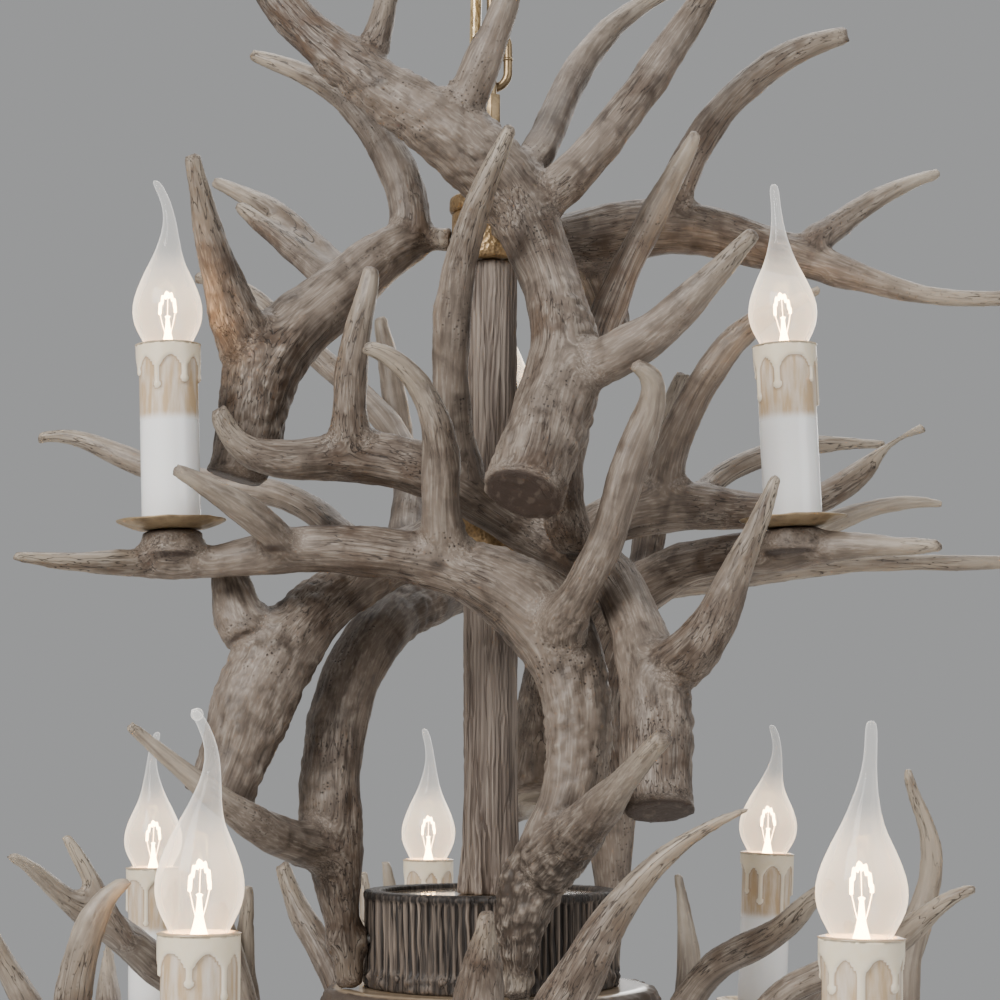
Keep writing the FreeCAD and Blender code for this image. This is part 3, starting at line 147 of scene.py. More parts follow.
class Board:
    """A new material and its nodes."""

    def __init__(self, name: str) -> None:
        """Starts an empty material."""
        self.material = bpy.data.materials.new(name)
        self.material.use_nodes = True
        self.tree = self.material.node_tree
        self.tree.nodes.clear()

    def add(self, kind: str, settings: Optional[dict] = None, inputs: Optional[dict] = None
            ) -> bpy.types.Node:
        """Makes one node.

        Args:
            kind: the node's type.
            settings: its properties, set first.
            inputs: values or links of its sockets, by name or number.

        Returns:
            The node.
        """
        node = self.tree.nodes.new(kind)
        for key, value in (settings or {}).items():
            setattr(node, key, value)
        for key, value in (inputs or {}).items():
            if isinstance(value, Signal):
                self.tree.links.new(value.socket, node.inputs[key])
            elif isinstance(value, bpy.types.NodeSocket):
                self.tree.links.new(value, node.inputs[key])
            else:
                node.inputs[key].default_value = value
        return node

    def place(self, scale: tuple[float, float, float] = (1, 1, 1)) -> bpy.types.NodeSocket:
        """The Object coordinates, stretched by scale."""
        coordinates = self.add("ShaderNodeTexCoord")
        return self.add("ShaderNodeMapping", None, {"Vector": coordinates.outputs["Object"],
                                                    "Scale": scale}).outputs[0]

    def noise(self, scale: float, stretch: tuple[float, float, float] = (1, 1, 1), detail: float = 4.0,
              distortion: float = 0.0) -> Signal:
        """Cloudy noise in Object coordinates.

        Args:
            scale: how many clouds stand on a metre.
            stretch: the scale of the coordinates along X, Y and Z.
            detail: how many finer layers are added.
            distortion: how far the clouds are pulled about.

        Returns:
            The noise, about 0.5 on average.
        """
        node = self.add("ShaderNodeTexNoise", None, {"Vector": self.place(stretch), "Scale": scale,
                                                     "Detail": detail, "Distortion": distortion})
        return Signal(self, node.outputs["Fac"])

    def fibre(self, scale: float, detail: float = 3.0, distortion: float = 0.0) -> Signal:
        """Noise drawn out along a horn, by the place called fibre that its mesh carries.

        Args:
            scale: how many fibres stand on a metre across the horn.
            detail: how many finer layers are added.
            distortion: how far the fibres are pulled about.

        Returns:
            The noise, about 0.5 on average.
        """
        drawn = self.add("ShaderNodeAttribute", {"attribute_name": "fibre", "attribute_type": "GEOMETRY"})
        node = self.add("ShaderNodeTexNoise", None, {"Vector": drawn.outputs["Vector"], "Scale": scale,
                                                     "Detail": detail, "Distortion": distortion})
        return Signal(self, node.outputs["Fac"])

    def cells(self, scale: float) -> Signal:
        """Distance to the nearest point of a cell pattern."""
        node = self.add("ShaderNodeTexVoronoi", None, {"Vector": self.place(), "Scale": scale})
        return Signal(self, node.outputs["Distance"])

    def painted(self, name: str) -> Signal:
        """A value that the piece's mesh carries on its points."""
        node = self.add("ShaderNodeAttribute", {"attribute_name": name, "attribute_type": "GEOMETRY"})
        return Signal(self, node.outputs["Fac"])

    def blend(self, amount: Number, first: object, second: object) -> bpy.types.NodeSocket:
        """A colour between first and second.

        Args:
            amount: 0 for the first, 1 for the second.
            first: a colour or a colour's socket.
            second: the same.

        Returns:
            The blended colour's socket.
        """
        colours = [(*value, 1.0) if isinstance(value, tuple) and len(value) == 3 else value
                   for value in (first, second)]
        node = self.add("ShaderNodeMix", {"data_type": "RGBA"}, {0: amount, 6: colours[0], 7: colours[1]})
        return node.outputs[2]

    def relief(self, height: Signal, strength: float, distance: float) -> bpy.types.NodeSocket:
        """A bump made from a height."""
        node = self.add("ShaderNodeBump", None, {"Height": height, "Strength": strength,
                                                 "Distance": distance})
        return node.outputs[0]

    def close(self, surface: dict) -> bpy.types.Material:
        """Ends the material with one Principled surface.

        Args:
            surface: the sockets of the surface.

        Returns:
            The material.
        """
        shader = self.add("ShaderNodeBsdfPrincipled", None, surface).outputs[0]
        self.add("ShaderNodeOutputMaterial", None, {"Surface": shader})
        return self.material


# ---- finishes -----------------------------------------------------------------------------
@dataclass(frozen=True)
class AntlerFinish:
    """Cast antler: taupe with fine dark fibres along each horn, pale rubbed tips and brown cut ends."""

    name: str = "cast_antler"
    shaft: tuple = (0.182, 0.144, 0.115)
    shade: tuple = (0.040, 0.028, 0.020)
    crack: tuple = (0.016, 0.010, 0.007)
    tip: tuple = (0.42, 0.36, 0.28)
    brown: tuple = (0.118, 0.070, 0.041)
    sawn: tuple = (0.042, 0.026, 0.019)
    # pale wear on the fibres, and a painted highlight on the knob tops
    chalk_and_highlight: tuple = (0.36, 0.32, 0.27)

    def build(self) -> bpy.types.Material:
        """Builds the material."""
        board = Board(self.name)
        thin = board.painted("thin")
        knob = board.painted("knob")
        # hollow marks grooves and recesses, which it darkens as painted shade
        hollow = board.painted("hollow")
        cut = board.painted("cut")
        fine = board.fibre(820.0, detail=4.0)
        middle = board.fibre(230.0, detail=4.0, distortion=0.3)
        seam = board.fibre(360.0, detail=2.0)
        cloud = board.noise(11.0, detail=3.0)
        mottle = board.noise(75.0, detail=6.0, distortion=0.5)
        speck = board.noise(650.0, detail=3.0)
        dots = board.cells(430.0)
        crack = (seam.off(0.5).step(0.022, 0.004) * cloud.step(0.44, 0.54)).held()
        foot = board.painted("foot")
        pit = ((dots + (speck - 0.5) * 0.5).step(0.30, 0.10) * board.noise(34.0, detail=3.0).step(0.54, 0.64)
               * (1.0 - thin * 0.8)).held()
        # dark: the cast's fibres, mottle and clouds, plus painted shade in the grooves (hollow), and darker
        # between the knobs of the pearled foot
        dark = (fine.step(0.58, 0.36) * (0.26 + thin * 0.16) + middle.step(0.54, 0.32) * 0.42
                + hollow.step(0.5, 0.95) * 0.5 + (mottle - 0.5) * (2.1 - thin * 1.2) + (cloud - 0.5) * 1.7
                + 0.09) * (1.0 - thin * 0.35) + foot * 0.5 * knob.step(0.75, 0.3)
        colour = board.blend(dark.held(), self.shaft, self.shade)
        colour = board.blend((cloud.step(0.46, 0.70) * mottle.step(0.35, 0.6) * 0.6).held(),
                             colour, self.brown)
        # paler fibres as wear, and a painted highlight on the raised knobs
        colour = board.blend((fine.step(0.50, 0.70) * mottle.step(0.62, 0.42) * 0.55
                              + knob.step(0.6, 0.95) * 0.5).held(), colour, self.chalk_and_highlight)
        colour = board.blend((thin.step(0.3, 1.0) * 0.66 * middle.step(0.28, 0.55)).held(), colour, self.tip)
        colour = board.blend((crack * 0.85 + pit * 0.9).held(), colour, self.crack)
        scratch = board.noise(260.0, (1, 0.12, 1), detail=2.0)
        sawn = board.blend((scratch.step(0.56, 0.68) * 0.35 + (speck - 0.5) * 0.3).held(),
                           self.sawn, self.shaft)
        colour = board.blend((cut * 0.95).held(), colour, sawn)
        height = fine * 0.55 + middle * 0.6 + speck * 0.15 + mottle * 0.3 - crack * 0.5 - pit * 0.6
        return board.close({"Base Color": colour,
                            "Roughness": (0.54 - thin * 0.12 + (speck - 0.5) * 0.3).held(),
                            "Specular IOR Level": 0.4, "Normal": board.relief(height, 0.6, 0.0009)})


@dataclass(frozen=True)
class BarkFinish:
    """Cast bark: grey-brown ridges over dark furrows, stretched along Z."""

    name: str
    ridge: tuple = (0.240, 0.195, 0.160)
    furrow: tuple = (0.085, 0.062, 0.048)
    pale: tuple = (0.38, 0.33, 0.275)
    streak: float = 0.06

    def build(self) -> bpy.types.Material:
        """Builds the material."""
        board = Board(self.name)
        raised = board.painted("raised")
        fibre = board.noise(520.0, (1, 1, self.streak), detail=5.0, distortion=0.3)
        seam = board.noise(190.0, (1, 1, self.streak * 0.8), detail=3.0).off(0.5).step(0.03, 0.0)
        patch = board.noise(22.0, (1, 1, 0.4), detail=4.0)
        tone = (raised.step(0.22, 0.72) * 0.72 + (fibre - 0.5) * 1.5 + (patch - 0.5) * 0.7 - seam * 0.45
                + 0.1).held()
        colour = board.blend(tone, self.furrow, self.ridge)
        colour = board.blend((fibre.step(0.56, 0.74) * raised.step(0.5, 0.9) * 0.6).held(), colour, self.pale)
        return board.close({"Base Color": colour, "Roughness": 0.62 + (fibre - 0.5) * 0.25,
                            "Normal": board.relief(fibre - seam * 0.5 + raised * 0.4, 0.75, 0.0014)})


@dataclass(frozen=True)
class SliceFinish:
    """A slice of wood under clear varnish, with growth rings round the column."""

    name: str
    pale: tuple = (0.56, 0.43, 0.29)
    ring: tuple = (0.27, 0.17, 0.095)
    edge: tuple = (0.070, 0.050, 0.037)
    bark_from: float = 1.0
    gloss: float = 0.16

    def build(self) -> bpy.types.Material:
        """Builds the material."""
        board = Board(self.name)
        split = board.add("ShaderNodeSeparateXYZ", None, {0: board.place()})
        x, y = Signal(board, split.outputs[0]), Signal(board, split.outputs[1])
        wobble = board.noise(14.0, (1, 1, 0.01), detail=3.0)
        reach = (x * x + y * y) ** 0.5
        rings = (reach * 620.0 + wobble * 10.0).sine() * 0.5 + 0.5
        fibre = board.noise(500.0, detail=3.0)
        tone = (rings * 0.55 + (fibre - 0.5) * 0.5 + (wobble - 0.5) * 0.9).held()
        colour = board.blend(tone, self.pale, self.ring)
        bark = reach.step(self.bark_from - 0.0015, self.bark_from + 0.0015)
        colour = board.blend(bark, colour, self.edge)
        return board.close({"Base Color": colour, "Roughness": self.gloss + bark * 0.4 + (fibre - 0.5) * 0.06,
                            "Coat Weight": 1.0 - bark, "Coat Roughness": 0.06,
                            "Normal": board.relief(fibre + rings * 0.5, 0.12, 0.0004)})


@dataclass(frozen=True)
class HammeredFinish:
    """Tan-gold hammered paint over metal, dark in the dimples and bright on worn edges."""

    name: str = "hammered_gold"
    high: tuple = (0.40, 0.270, 0.135)
    low: tuple = (0.115, 0.068, 0.032)
    dimple: float = 520.0
    depth: float = 0.0006

    def build(self) -> bpy.types.Material:
        """Builds the material."""
        board = Board(self.name)
        dimples = board.cells(self.dimple)
        rust = board.noise(70.0, detail=5.0)
        fine = board.noise(600.0, detail=2.0)
        tone = (dimples.step(0.1, 0.62) * 0.55 + (rust - 0.5) * 1.2 + 0.32 + (fine - 0.5) * 0.4).held()
        colour = board.blend(tone, self.low, self.high)
        return board.close({"Base Color": colour, "Metallic": (0.35 + tone * 0.3).held(),
                            "Roughness": 0.5 - dimples * 0.12 + (rust - 0.5) * 0.3,
                            "Normal": board.relief(dimples + fine * 0.15, 0.8, self.depth)})


@dataclass(frozen=True)
class PlatedFinish:
    """Plain plated or painted metal with fine wear."""

    name: str
    colour: tuple
    worn: tuple
    metallic: float = 0.9
    roughness: float = 0.32

    def build(self) -> bpy.types.Material:
        """Builds the material."""
        board = Board(self.name)
        wear = board.noise(160.0, detail=5.0)
        hair = board.noise(900.0, (1, 1, 0.15), detail=2.0)
        tone = (wear.step(0.5, 0.72) * 0.8 + (hair - 0.5) * 0.4).held()
        return board.close({"Base Color": board.blend(tone, self.colour, self.worn),
                            "Metallic": self.metallic,
                            "Roughness": (self.roughness + (wear - 0.5) * 0.3 + (hair - 0.5) * 0.1).held(),
                            "Normal": board.relief(hair + wear * 0.4, 0.18, 0.0003)})


@dataclass(frozen=True)
class WaxFinish:
    """The candle sleeve: ivory drips above a tan wash, and a glossy white lower part."""

    name: str = "candle_wax"
    ivory: tuple = (0.82, 0.70, 0.50)
    white: tuple = (0.90, 0.895, 0.88)
    wash: tuple = (0.52, 0.37, 0.215)
    line: tuple = (0.36, 0.22, 0.11)

    def build(self) -> bpy.types.Material:
        """Builds the material."""
        board = Board(self.name)
        drip = board.painted("drip")
        washed = board.painted("washed")
        rim = board.painted("rim")
        mottle = board.noise(240.0, detail=4.0)
        stroke = board.noise(300.0, (1, 1, 0.16), detail=4.0)
        colour = board.blend((washed * (0.82 + (stroke - 0.5) * 1.5)).held(), self.white, self.wash)
        colour = board.blend((drip * (0.9 + (mottle - 0.5) * 0.4)).held(), colour, self.ivory)
        edge = drip.off(0.3).step(0.3, 0.05) * washed.step(0.0, 0.2)
        colour = board.blend((edge * 0.75).held(), colour, self.line)
        colour = board.blend((rim * (0.75 + (mottle - 0.5) * 0.8)).held(), colour, self.line)
        return board.close({"Base Color": colour, "Roughness": (0.24 + washed * 0.2 + drip * 0.1).held(),
                            "Subsurface Weight": 0.12, "Subsurface Radius": (0.006, 0.004, 0.003),
                            "Coat Weight": 0.35, "Coat Roughness": 0.12,
                            "Normal": board.relief(mottle + stroke * washed, 0.22, 0.0006)})


@dataclass(frozen=True)
class PlasticFinish:
    """Moulded plastic with a faint texture."""

    name: str
    colour: tuple
    shade: tuple
    roughness: float = 0.45

    def build(self) -> bpy.types.Material:
        """Builds the material."""
        board = Board(self.name)
        skin = board.noise(700.0, detail=2.0)
        cloud = board.noise(40.0, detail=3.0)
        return board.close({"Base Color": board.blend(cloud, self.colour, self.shade),
                            "Roughness": self.roughness + (skin - 0.5) * 0.2,
                            "Normal": board.relief(skin, 0.15, 0.0002)})


@dataclass(frozen=True)
class CordFinish:
    """Clear gold sheath over twisted strands."""

    name: str = "clear_gold_flex"

    def build(self) -> bpy.types.Material:
        """Builds the material."""
        board = Board(self.name)
        twist = board.noise(420.0, (1, 1, 0.35), detail=3.0, distortion=1.5)
        colour = board.blend(twist.step(0.35, 0.65), (0.23, 0.14, 0.055), (0.66, 0.49, 0.24))
        return board.close({"Base Color": colour, "Metallic": 0.35, "Roughness": 0.22 + (twist - 0.5) * 0.2,
                            "Coat Weight": 0.8, "Coat Roughness": 0.05,
                            "Normal": board.relief(twist, 0.4, 0.0006)})


@dataclass(frozen=True)
class GlassFinish:
    """Blown glass as a thin wall that glows with painted light: nearly clear in the middle, bright and milky
    towards its rim, warm near the filament.
    """

    name: str = "blown_glass"
    veil: float = 0.12
    rim: float = 0.72
    # lit: the strength of the wall's painted glow
    lit: float = 1.5
    body: tuple = (0.90, 0.90, 0.89)

    def build(self) -> bpy.types.Material:
        """Builds the material."""
        board = Board(self.name)
        facing = Signal(board, board.add("ShaderNodeLayerWeight", None, {"Blend": 0.38}).outputs["Facing"])
        ripple = board.noise(60.0, detail=2.0)
        # near: where the filament's light is painted onto the glass
        near = board.painted("near")
        # painted glow: the wall emits faint grey light everywhere and warm light near the filament, though the
        # glass itself gives no light
        light = board.blend(near, (0.33, 0.32, 0.30), (1.0, 0.83, 0.60))
        through = board.add("ShaderNodeBsdfTransparent", None, {"Color": (1.0, 0.995, 0.985, 1.0)}).outputs[0]
        wall = board.add("ShaderNodeBsdfPrincipled", None, {
            "Base Color": (*self.body, 1.0), "Roughness": 0.04, "Specular IOR Level": 0.9,
            "Emission Color": light, "Emission Strength": self.lit,
            "Normal": board.relief(ripple, 0.12, 0.001)}).outputs[0]
        # the wall's share, and with it the painted glow, grows towards the rim and near the filament
        amount = (self.veil + (facing ** 2.0) * self.rim + near * 0.12).held()
        mixed = board.add("ShaderNodeMixShader", None, {0: amount, 1: through, 2: wall}).outputs[0]
        board.add("ShaderNodeOutputMaterial", None, {"Surface": mixed})
        return board.material


@dataclass(frozen=True)
class GlowFinish:
    """The white-hot filament."""

    name: str = "hot_filament"
    strength: float = 34.0

    def build(self) -> bpy.types.Material:
        """Builds the material."""
        board = Board(self.name)
        flicker = board.noise(300.0, detail=1.0)
        colour = board.blend(flicker, (1.0, 0.56, 0.22), (1.0, 0.68, 0.34))
        return board.close({"Base Color": (1.0, 0.7, 0.4, 1.0), "Emission Color": colour,
                            "Emission Strength": self.strength, "Roughness": 0.5})


class Palette:
    """Every finish, built once."""

    def __init__(self) -> None:
        """Builds the finishes."""
        self.antler = AntlerFinish().build()
        self.bark = BarkFinish("column_bark").build()
        self.stump_bark = BarkFinish("stump_bark", ridge=(0.215, 0.168, 0.132), furrow=(0.014, 0.010, 0.008),
                                     pale=(0.36, 0.30, 0.25), streak=0.05).build()
        self.disc = SliceFinish("glossy_disc", bark_from=0.0575).build()
        self.plate = SliceFinish("plate_slice", bark_from=0.0825, gloss=0.3).build()
        self.hammered = HammeredFinish().build()
        self.pan = HammeredFinish("hammered_pan", high=(0.37, 0.28, 0.17), dimple=170.0).build()
        self.gold = PlatedFinish("aged_gold_metal", (0.23, 0.165, 0.095), (0.50, 0.38, 0.22),
                                 roughness=0.38).build()
        self.zinc = PlatedFinish("zinc_metal", (0.46, 0.45, 0.43), (0.68, 0.67, 0.65)).build()
        self.wax = WaxFinish().build()
        self.insulator = PlasticFinish("insulator", (0.72, 0.68, 0.58), (0.60, 0.56, 0.46)).build()
        self.cord = CordFinish().build()
        self.glass = GlassFinish().build()
        self.stem = GlassFinish("stem_glass", veil=0.0, rim=0.12, lit=0.0,
                                body=(0.12, 0.11, 0.10)).build()
        self.glow = GlowFinish().build()
        self.floor = PlasticFinish("studio_floor", (0.82, 0.81, 0.79), (0.78, 0.77, 0.75),
                                   roughness=0.7).build()


# ---- building blocks ----------------------------------------------------------------------
class Workpiece:
    """A mesh that is put together from turned, bent and extruded forms."""

    def __init__(self) -> None:
        """Starts with nothing."""
        self.mesh = bmesh.new()

    def join(self, part: bmesh.types.BMesh, matrix: Optional[Matrix], index: int, normals: bool = True
             ) -> None:
        """Adds one form.

        Args:
            part: the form, which is used up.
            matrix: where it goes.
            index: its material's number.
            normals: whether its normals are worked out again.
        """
        if matrix is not None:
            bmesh.ops.transform(part, matrix=matrix, verts=part.verts)
        if normals:
            bmesh.ops.recalc_face_normals(part, faces=part.faces)
        for face in part.faces:
            face.material_index = index
            face.smooth = True
        held = bpy.data.meshes.new("held")
        part.to_mesh(held)
        part.free()
        self.mesh.from_mesh(held)
        bpy.data.meshes.remove(held)

    def turn(self, profile: Profile, steps: int = 48, closed: bool = True, matrix: Optional[Matrix] = None,
             index: int = 0) -> "Workpiece":
        """Turns an outline of (radius, height) about Z.

        Args:
            profile: the outline's points, in metres.
            steps: faces round the turn.
            closed: whether the outline's ends are joined.
            matrix: where the form goes.
            index: its material's number.

        Returns:
            This piece.
        """
        part = bmesh.new()
        points = [part.verts.new((radius, 0.0, height)) for radius, height in profile]
        pairs = list(zip(points, points[1:])) + ([(points[-1], points[0])] if closed else [])
        edges = [part.edges.new(pair) for pair in pairs]
        bmesh.ops.spin(part, geom=points + edges, cent=(0, 0, 0), axis=(0, 0, 1), dvec=(0, 0, 0),
                       angle=2 * math.pi, steps=steps, use_merge=True)
        bmesh.ops.remove_doubles(part, verts=part.verts, dist=MERGE)
        self.join(part, matrix, index)
        return self

    def link(self, half_width: float, straight: float, wire: float, matrix: Matrix) -> "Workpiece":
        """Bends an oval of round wire in the XZ plane, a ring where straight is 0.

        Args:
            half_width: from the oval's middle to the wire's, across.
            straight: the length of its straight sides.
            wire: the wire's radius.
            matrix: where the form goes.

        Returns:
            This piece.
        """
        part = bmesh.new()
        made = bmesh.ops.create_circle(part, segments=14, radius=wire,
                                       matrix=Matrix.Translation((half_width, 0, 0)))
        bmesh.ops.spin(part, geom=made["verts"] + list(part.edges), cent=(0, 0, 0), axis=(0, 1, 0),
                       dvec=(0, 0, 0), angle=2 * math.pi, steps=40, use_merge=True)
        bmesh.ops.remove_doubles(part, verts=part.verts, dist=MERGE)
        for vertex in part.verts:
            if abs(vertex.co.z) > 1e-7:
                vertex.co.z += math.copysign(straight / 2, vertex.co.z)
        self.join(part, matrix, 0)
        return self

    def prism(self, sides: int, radius: float, height: float, bevel: float, matrix: Matrix
              ) -> "Workpiece":
        """Adds a standing prism with softened edges, such as a nut.

        Args:
            sides: how many sides it has.
            radius: from its axis to a corner.
            height: its height.
            bevel: how far its edges are cut back.
            matrix: where the form goes.

        Returns:
            This piece.
        """
        part = bmesh.new()
        bmesh.ops.create_cone(part, cap_ends=True, segments=sides, radius1=radius, radius2=radius,
                              depth=height)
        bmesh.ops.bevel(part, geom=list(part.edges), offset=bevel, segments=2, profile=0.5, affect="EDGES",
                        material=-1)
        self.join(part, matrix, 0)
        return self

    def rod(self, points: Sequence[Sequence[float]], radius: float, matrix: Optional[Matrix] = None,
            index: int = 0, sides: int = 8) -> "Workpiece":
        """Adds a bent wire through points, with closed ends.

        Args:
            points: the points of its middle line.
            radius: the wire's radius.
            matrix: where the form goes.
            index: its material's number.
            sides: faces round the wire.

        Returns:
            This piece.
        """
        part = bmesh.new()
        path = [Vector(point) for point in points]
        loops: list[list] = []
        for i, point in enumerate(path):
            ahead = (path[min(i + 1, len(path) - 1)] - path[max(i - 1, 0)]).normalized()
            turn = ahead.to_track_quat("Z", "Y").to_matrix().to_4x4()
            ring = bmesh.ops.create_circle(part, segments=sides, radius=radius,
                                           matrix=Matrix.Translation(point) @ turn)["verts"]
            loops.append(list({edge for vertex in ring for edge in vertex.link_edges}))
        for near, far in zip(loops, loops[1:]):
            bmesh.ops.bridge_loops(part, edges=near + far)
        for loop in (loops[0], loops[-1]):
            bmesh.ops.contextual_create(part, geom=loop)
        self.join(part, matrix, index)
        return self

    def shape(self, move: Callable[[Vector], Vector]) -> "Workpiece":
        """Moves every point."""
        for vertex in self.mesh.verts:
            vertex.co = move(vertex.co)
        return self

    def finish(self, name: str, finishes: Sequence[bpy.types.Material], body: str, slot: str,
               nodes: Sequence[str] = ()) -> bpy.types.Object:
        """Turns the forms into a piece that rides on a body.

        Args:
            name: the piece's name.
            finishes: its materials.
            body: the body that carries it.
            slot: the record's material slot; not used.
            nodes: the nodes that it stands for.

        Returns:
            The object.
        """
        mesh = bpy.data.meshes.new(name)
        self.mesh.to_mesh(mesh)
        self.mesh.free()
        return dressed(name, mesh, finishes, body, nodes)


def dressed(name: str, mesh: bpy.types.Mesh, finishes: Sequence[bpy.types.Material], body: str,
            nodes: Sequence[str] = ()) -> bpy.types.Object:
    """Links a mesh into the scene as a piece.

    Args:
        name: the piece's name.
        mesh: its mesh, already in place.
        finishes: its materials.
        body: the body that carries it.
        nodes: the nodes that it stands for.

    Returns:
        The object.
    """
    mesh.name = name
    mesh.materials.clear()
    for finish in finishes:
        mesh.materials.append(finish)
    piece = bpy.data.objects.new(name, mesh)
    bpy.context.scene.collection.objects.link(piece)
    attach(piece, body)
    if nodes:
        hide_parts(*nodes)
    LOG.info("%s: %d faces on %s", name, len(mesh.polygons), body)
    return piece


# ---- skins of cast pieces -----------------------------------------------------------------
class Texture3D:
    """Repeatable noise at any points of space."""

    def __init__(self, seed: int) -> None:
        """Keeps the seed."""
        self.seed = seed

    def _hash(self, cell: np.ndarray, salt: int) -> np.ndarray:
        """A number from 0 to 1 for every cell."""
        mixed = (cell[:, 0] * 73856093) ^ (cell[:, 1] * 19349663) ^ (cell[:, 2] * 83492791)
        mixed = (mixed ^ (self.seed * 2654435 + salt * 97531)) & 0x7FFFFFFF
        mixed = ((mixed ^ (mixed >> 13)) * 1274126177) & 0x7FFFFFFF
        mixed = ((mixed ^ (mixed >> 16)) * 668265263) & 0x7FFFFFFF
        return (mixed & 0xFFFFF) / float(0xFFFFF)

    def cloud(self, points: np.ndarray, size: float, salt: int = 0) -> np.ndarray:
        """Smooth noise from 0 to 1.

        Args:
            points: where it is wanted.
            size: the cells' size.
            salt: chooses another pattern.

        Returns:
            One value for each point.
        """
        place = points / size
        base = np.floor(place).astype(np.int64)
        part = place - base
        part = part * part * (3 - 2 * part)
        total = np.zeros(len(points))
        for corner in range(8):
            step = np.array([corner & 1, (corner >> 1) & 1, (corner >> 2) & 1])
            weight = np.prod(np.where(step == 1, part, 1 - part), axis=1)
            total += weight * self._hash(base + step, salt)
        return total

    def lumps(self, points: np.ndarray, size: float, salt: int = 0) -> np.ndarray:
        """Scattered round lumps.

        Args:
            points: where they are wanted.
            size: the size of a cell, each of which holds one lump.
            salt: chooses another pattern.

        Returns:
            For each point, 1 at the middle of a lump, falling to 0 at 0.62 of a cell from it.
        """
        place = points / size
        base = np.floor(place).astype(np.int64)
        best = np.full(len(points), 9.0)
        for shift in np.ndindex(3, 3, 3):
            cell = base + np.array(shift) - 1
            spot = cell + np.stack([self._hash(cell, salt + k) for k in (1, 2, 3)], axis=1)
            best = np.minimum(best, np.sum((place - spot) ** 2, axis=1))
        return np.clip(1 - np.sqrt(best) / 0.62, 0, 1)

    def streaks(self, points: np.ndarray, heading: np.ndarray, size: float, samples: int, salt: int = 0
                ) -> np.ndarray:
        """Noise drawn out along heading, about 0.5 on average.

        Args:
            points: where it is wanted.
            heading: the unit direction of the grain at each point.
            size: the streaks' width.
            samples: how many cells a streak runs through.
            salt: chooses another pattern.

        Returns:
            One value for each point.
        """
        total = np.zeros(len(points))
        for k in range(samples):
            offset = (k - (samples - 1) / 2) * size * 0.85
            total += self.cloud(points + heading * offset, size, salt) - 0.5
        return np.clip(0.5 + total / math.sqrt(samples) * 1.25, 0, 1)


class Skin:
    """The points of a mesh as arrays, and the steps that turn a plain casting into a lifelike one."""

    def __init__(self, mesh: bpy.types.Mesh) -> None:
        """Reads the mesh."""
        self.mesh = mesh
        self.count = len(mesh.vertices)
        flat = np.empty(self.count * 3)
        mesh.vertices.foreach_get("co", flat)
        self.points = flat.reshape(-1, 3)
        ends = np.empty(len(mesh.edges) * 2, dtype=np.int64)
        mesh.edges.foreach_get("vertices", ends)
        self.first, self.second = ends[0::2], ends[1::2]
        self.degree = np.maximum(np.bincount(self.first, minlength=self.count)
                                 + np.bincount(self.second, minlength=self.count), 1)

    def around(self, values: np.ndarray) -> np.ndarray:
        """The mean of each point's neighbours.

        Args:
            values: one value or one row for each point.

        Returns:
            The means, in the same shape.
        """
        columns = values.reshape(self.count, -1)
        sums = [np.bincount(self.first, weights=columns[self.second, k], minlength=self.count)
                + np.bincount(self.second, weights=columns[self.first, k], minlength=self.count)
                for k in range(columns.shape[1])]
        return (np.stack(sums, axis=1) / self.degree[:, None]).reshape(values.shape)

    def eased(self, values: np.ndarray, times: int) -> np.ndarray:
        """The values spread over the surface.

        Args:
            values: one value or one row for each point.
            times: how many edges they spread over.

        Returns:
            The smoothed values.
        """
        for _ in range(times):
            values = 0.4 * values + 0.6 * self.around(values)
        return values

    def normals(self) -> np.ndarray:
        """The points' normals as they stand."""
        self.write()
        flat = np.empty(self.count * 3)
        self.mesh.vertex_normals.foreach_get("vector", flat)
        return flat.reshape(-1, 3)

    def write(self) -> None:
        """Puts the points back into the mesh."""
        self.mesh.vertices.foreach_set("co", self.points.ravel())
        self.mesh.update()

    def swell(self, normals: np.ndarray, heights: np.ndarray) -> None:
        """Moves every point by its height along its normal, and writes the mesh."""
        self.points = self.points + normals * heights[:, None]
        self.write()

    def paint(self, name: str, values: np.ndarray) -> None:
        """Stores a value on every point."""
        layer = self.mesh.attributes.new(name, "FLOAT", "POINT")
        layer.data.foreach_set("value", values.astype(np.float32))

    def paint_place(self, name: str, places: np.ndarray) -> None:
        """Stores a place on every point, for a pattern to read."""
        layer = self.mesh.attributes.new(name, "FLOAT_VECTOR", "POINT")
        layer.data.foreach_set("vector", places.astype(np.float32).ravel())

    def fill_creases(self, times: int) -> None:
        """Fills sharp inner corners like webs, and rounds the rest a little."""
        for _ in range(times):
            pull = self.around(self.points) - self.points
            outward = np.sum(pull * self.normals(), axis=1)
            self.points = self.points + pull * np.where(outward > 0, 0.62, 0.12)[:, None]

    def heading(self, reach: int) -> np.ndarray:
        """The direction along each horn: the one that the normals nearby turn least towards.

        Args:
            reach: how many edges away a normal still counts.

        Returns:
            One unit direction for each point.
        """
        normals = self.normals()
        pairs = [(0, 0), (1, 1), (2, 2), (0, 1), (0, 2), (1, 2)]
        spread = self.eased(np.stack([normals[:, i] * normals[:, j] for i, j in pairs], axis=1), reach)
        tensor = np.empty((self.count, 3, 3))
        for k, (i, j) in enumerate(pairs):
            tensor[:, i, j] = tensor[:, j, i] = spread[:, k]
        return np.linalg.eigh(tensor)[1][:, :, 0]

    def thickness(self) -> np.ndarray:
        """How far the far side is, straight through.

        Returns:
            One smoothed depth for each point, 0.04 where no far side is met.
        """
        polygons = [tuple(polygon.vertices) for polygon in self.mesh.polygons]
        tree = BVHTree.FromPolygons([Vector(point) for point in self.points], polygons)
        normals = self.normals()
        depth = np.full(self.count, 0.04)
        start = 0.0004
        farthest = 0.08
        for i in range(self.count):
            inward = Vector(-normals[i])
            hit = tree.ray_cast(Vector(self.points[i]) + inward * start, inward, farthest)
            if hit[3] is not None:
                depth[i] = hit[3]
        return self.eased(depth, 14)


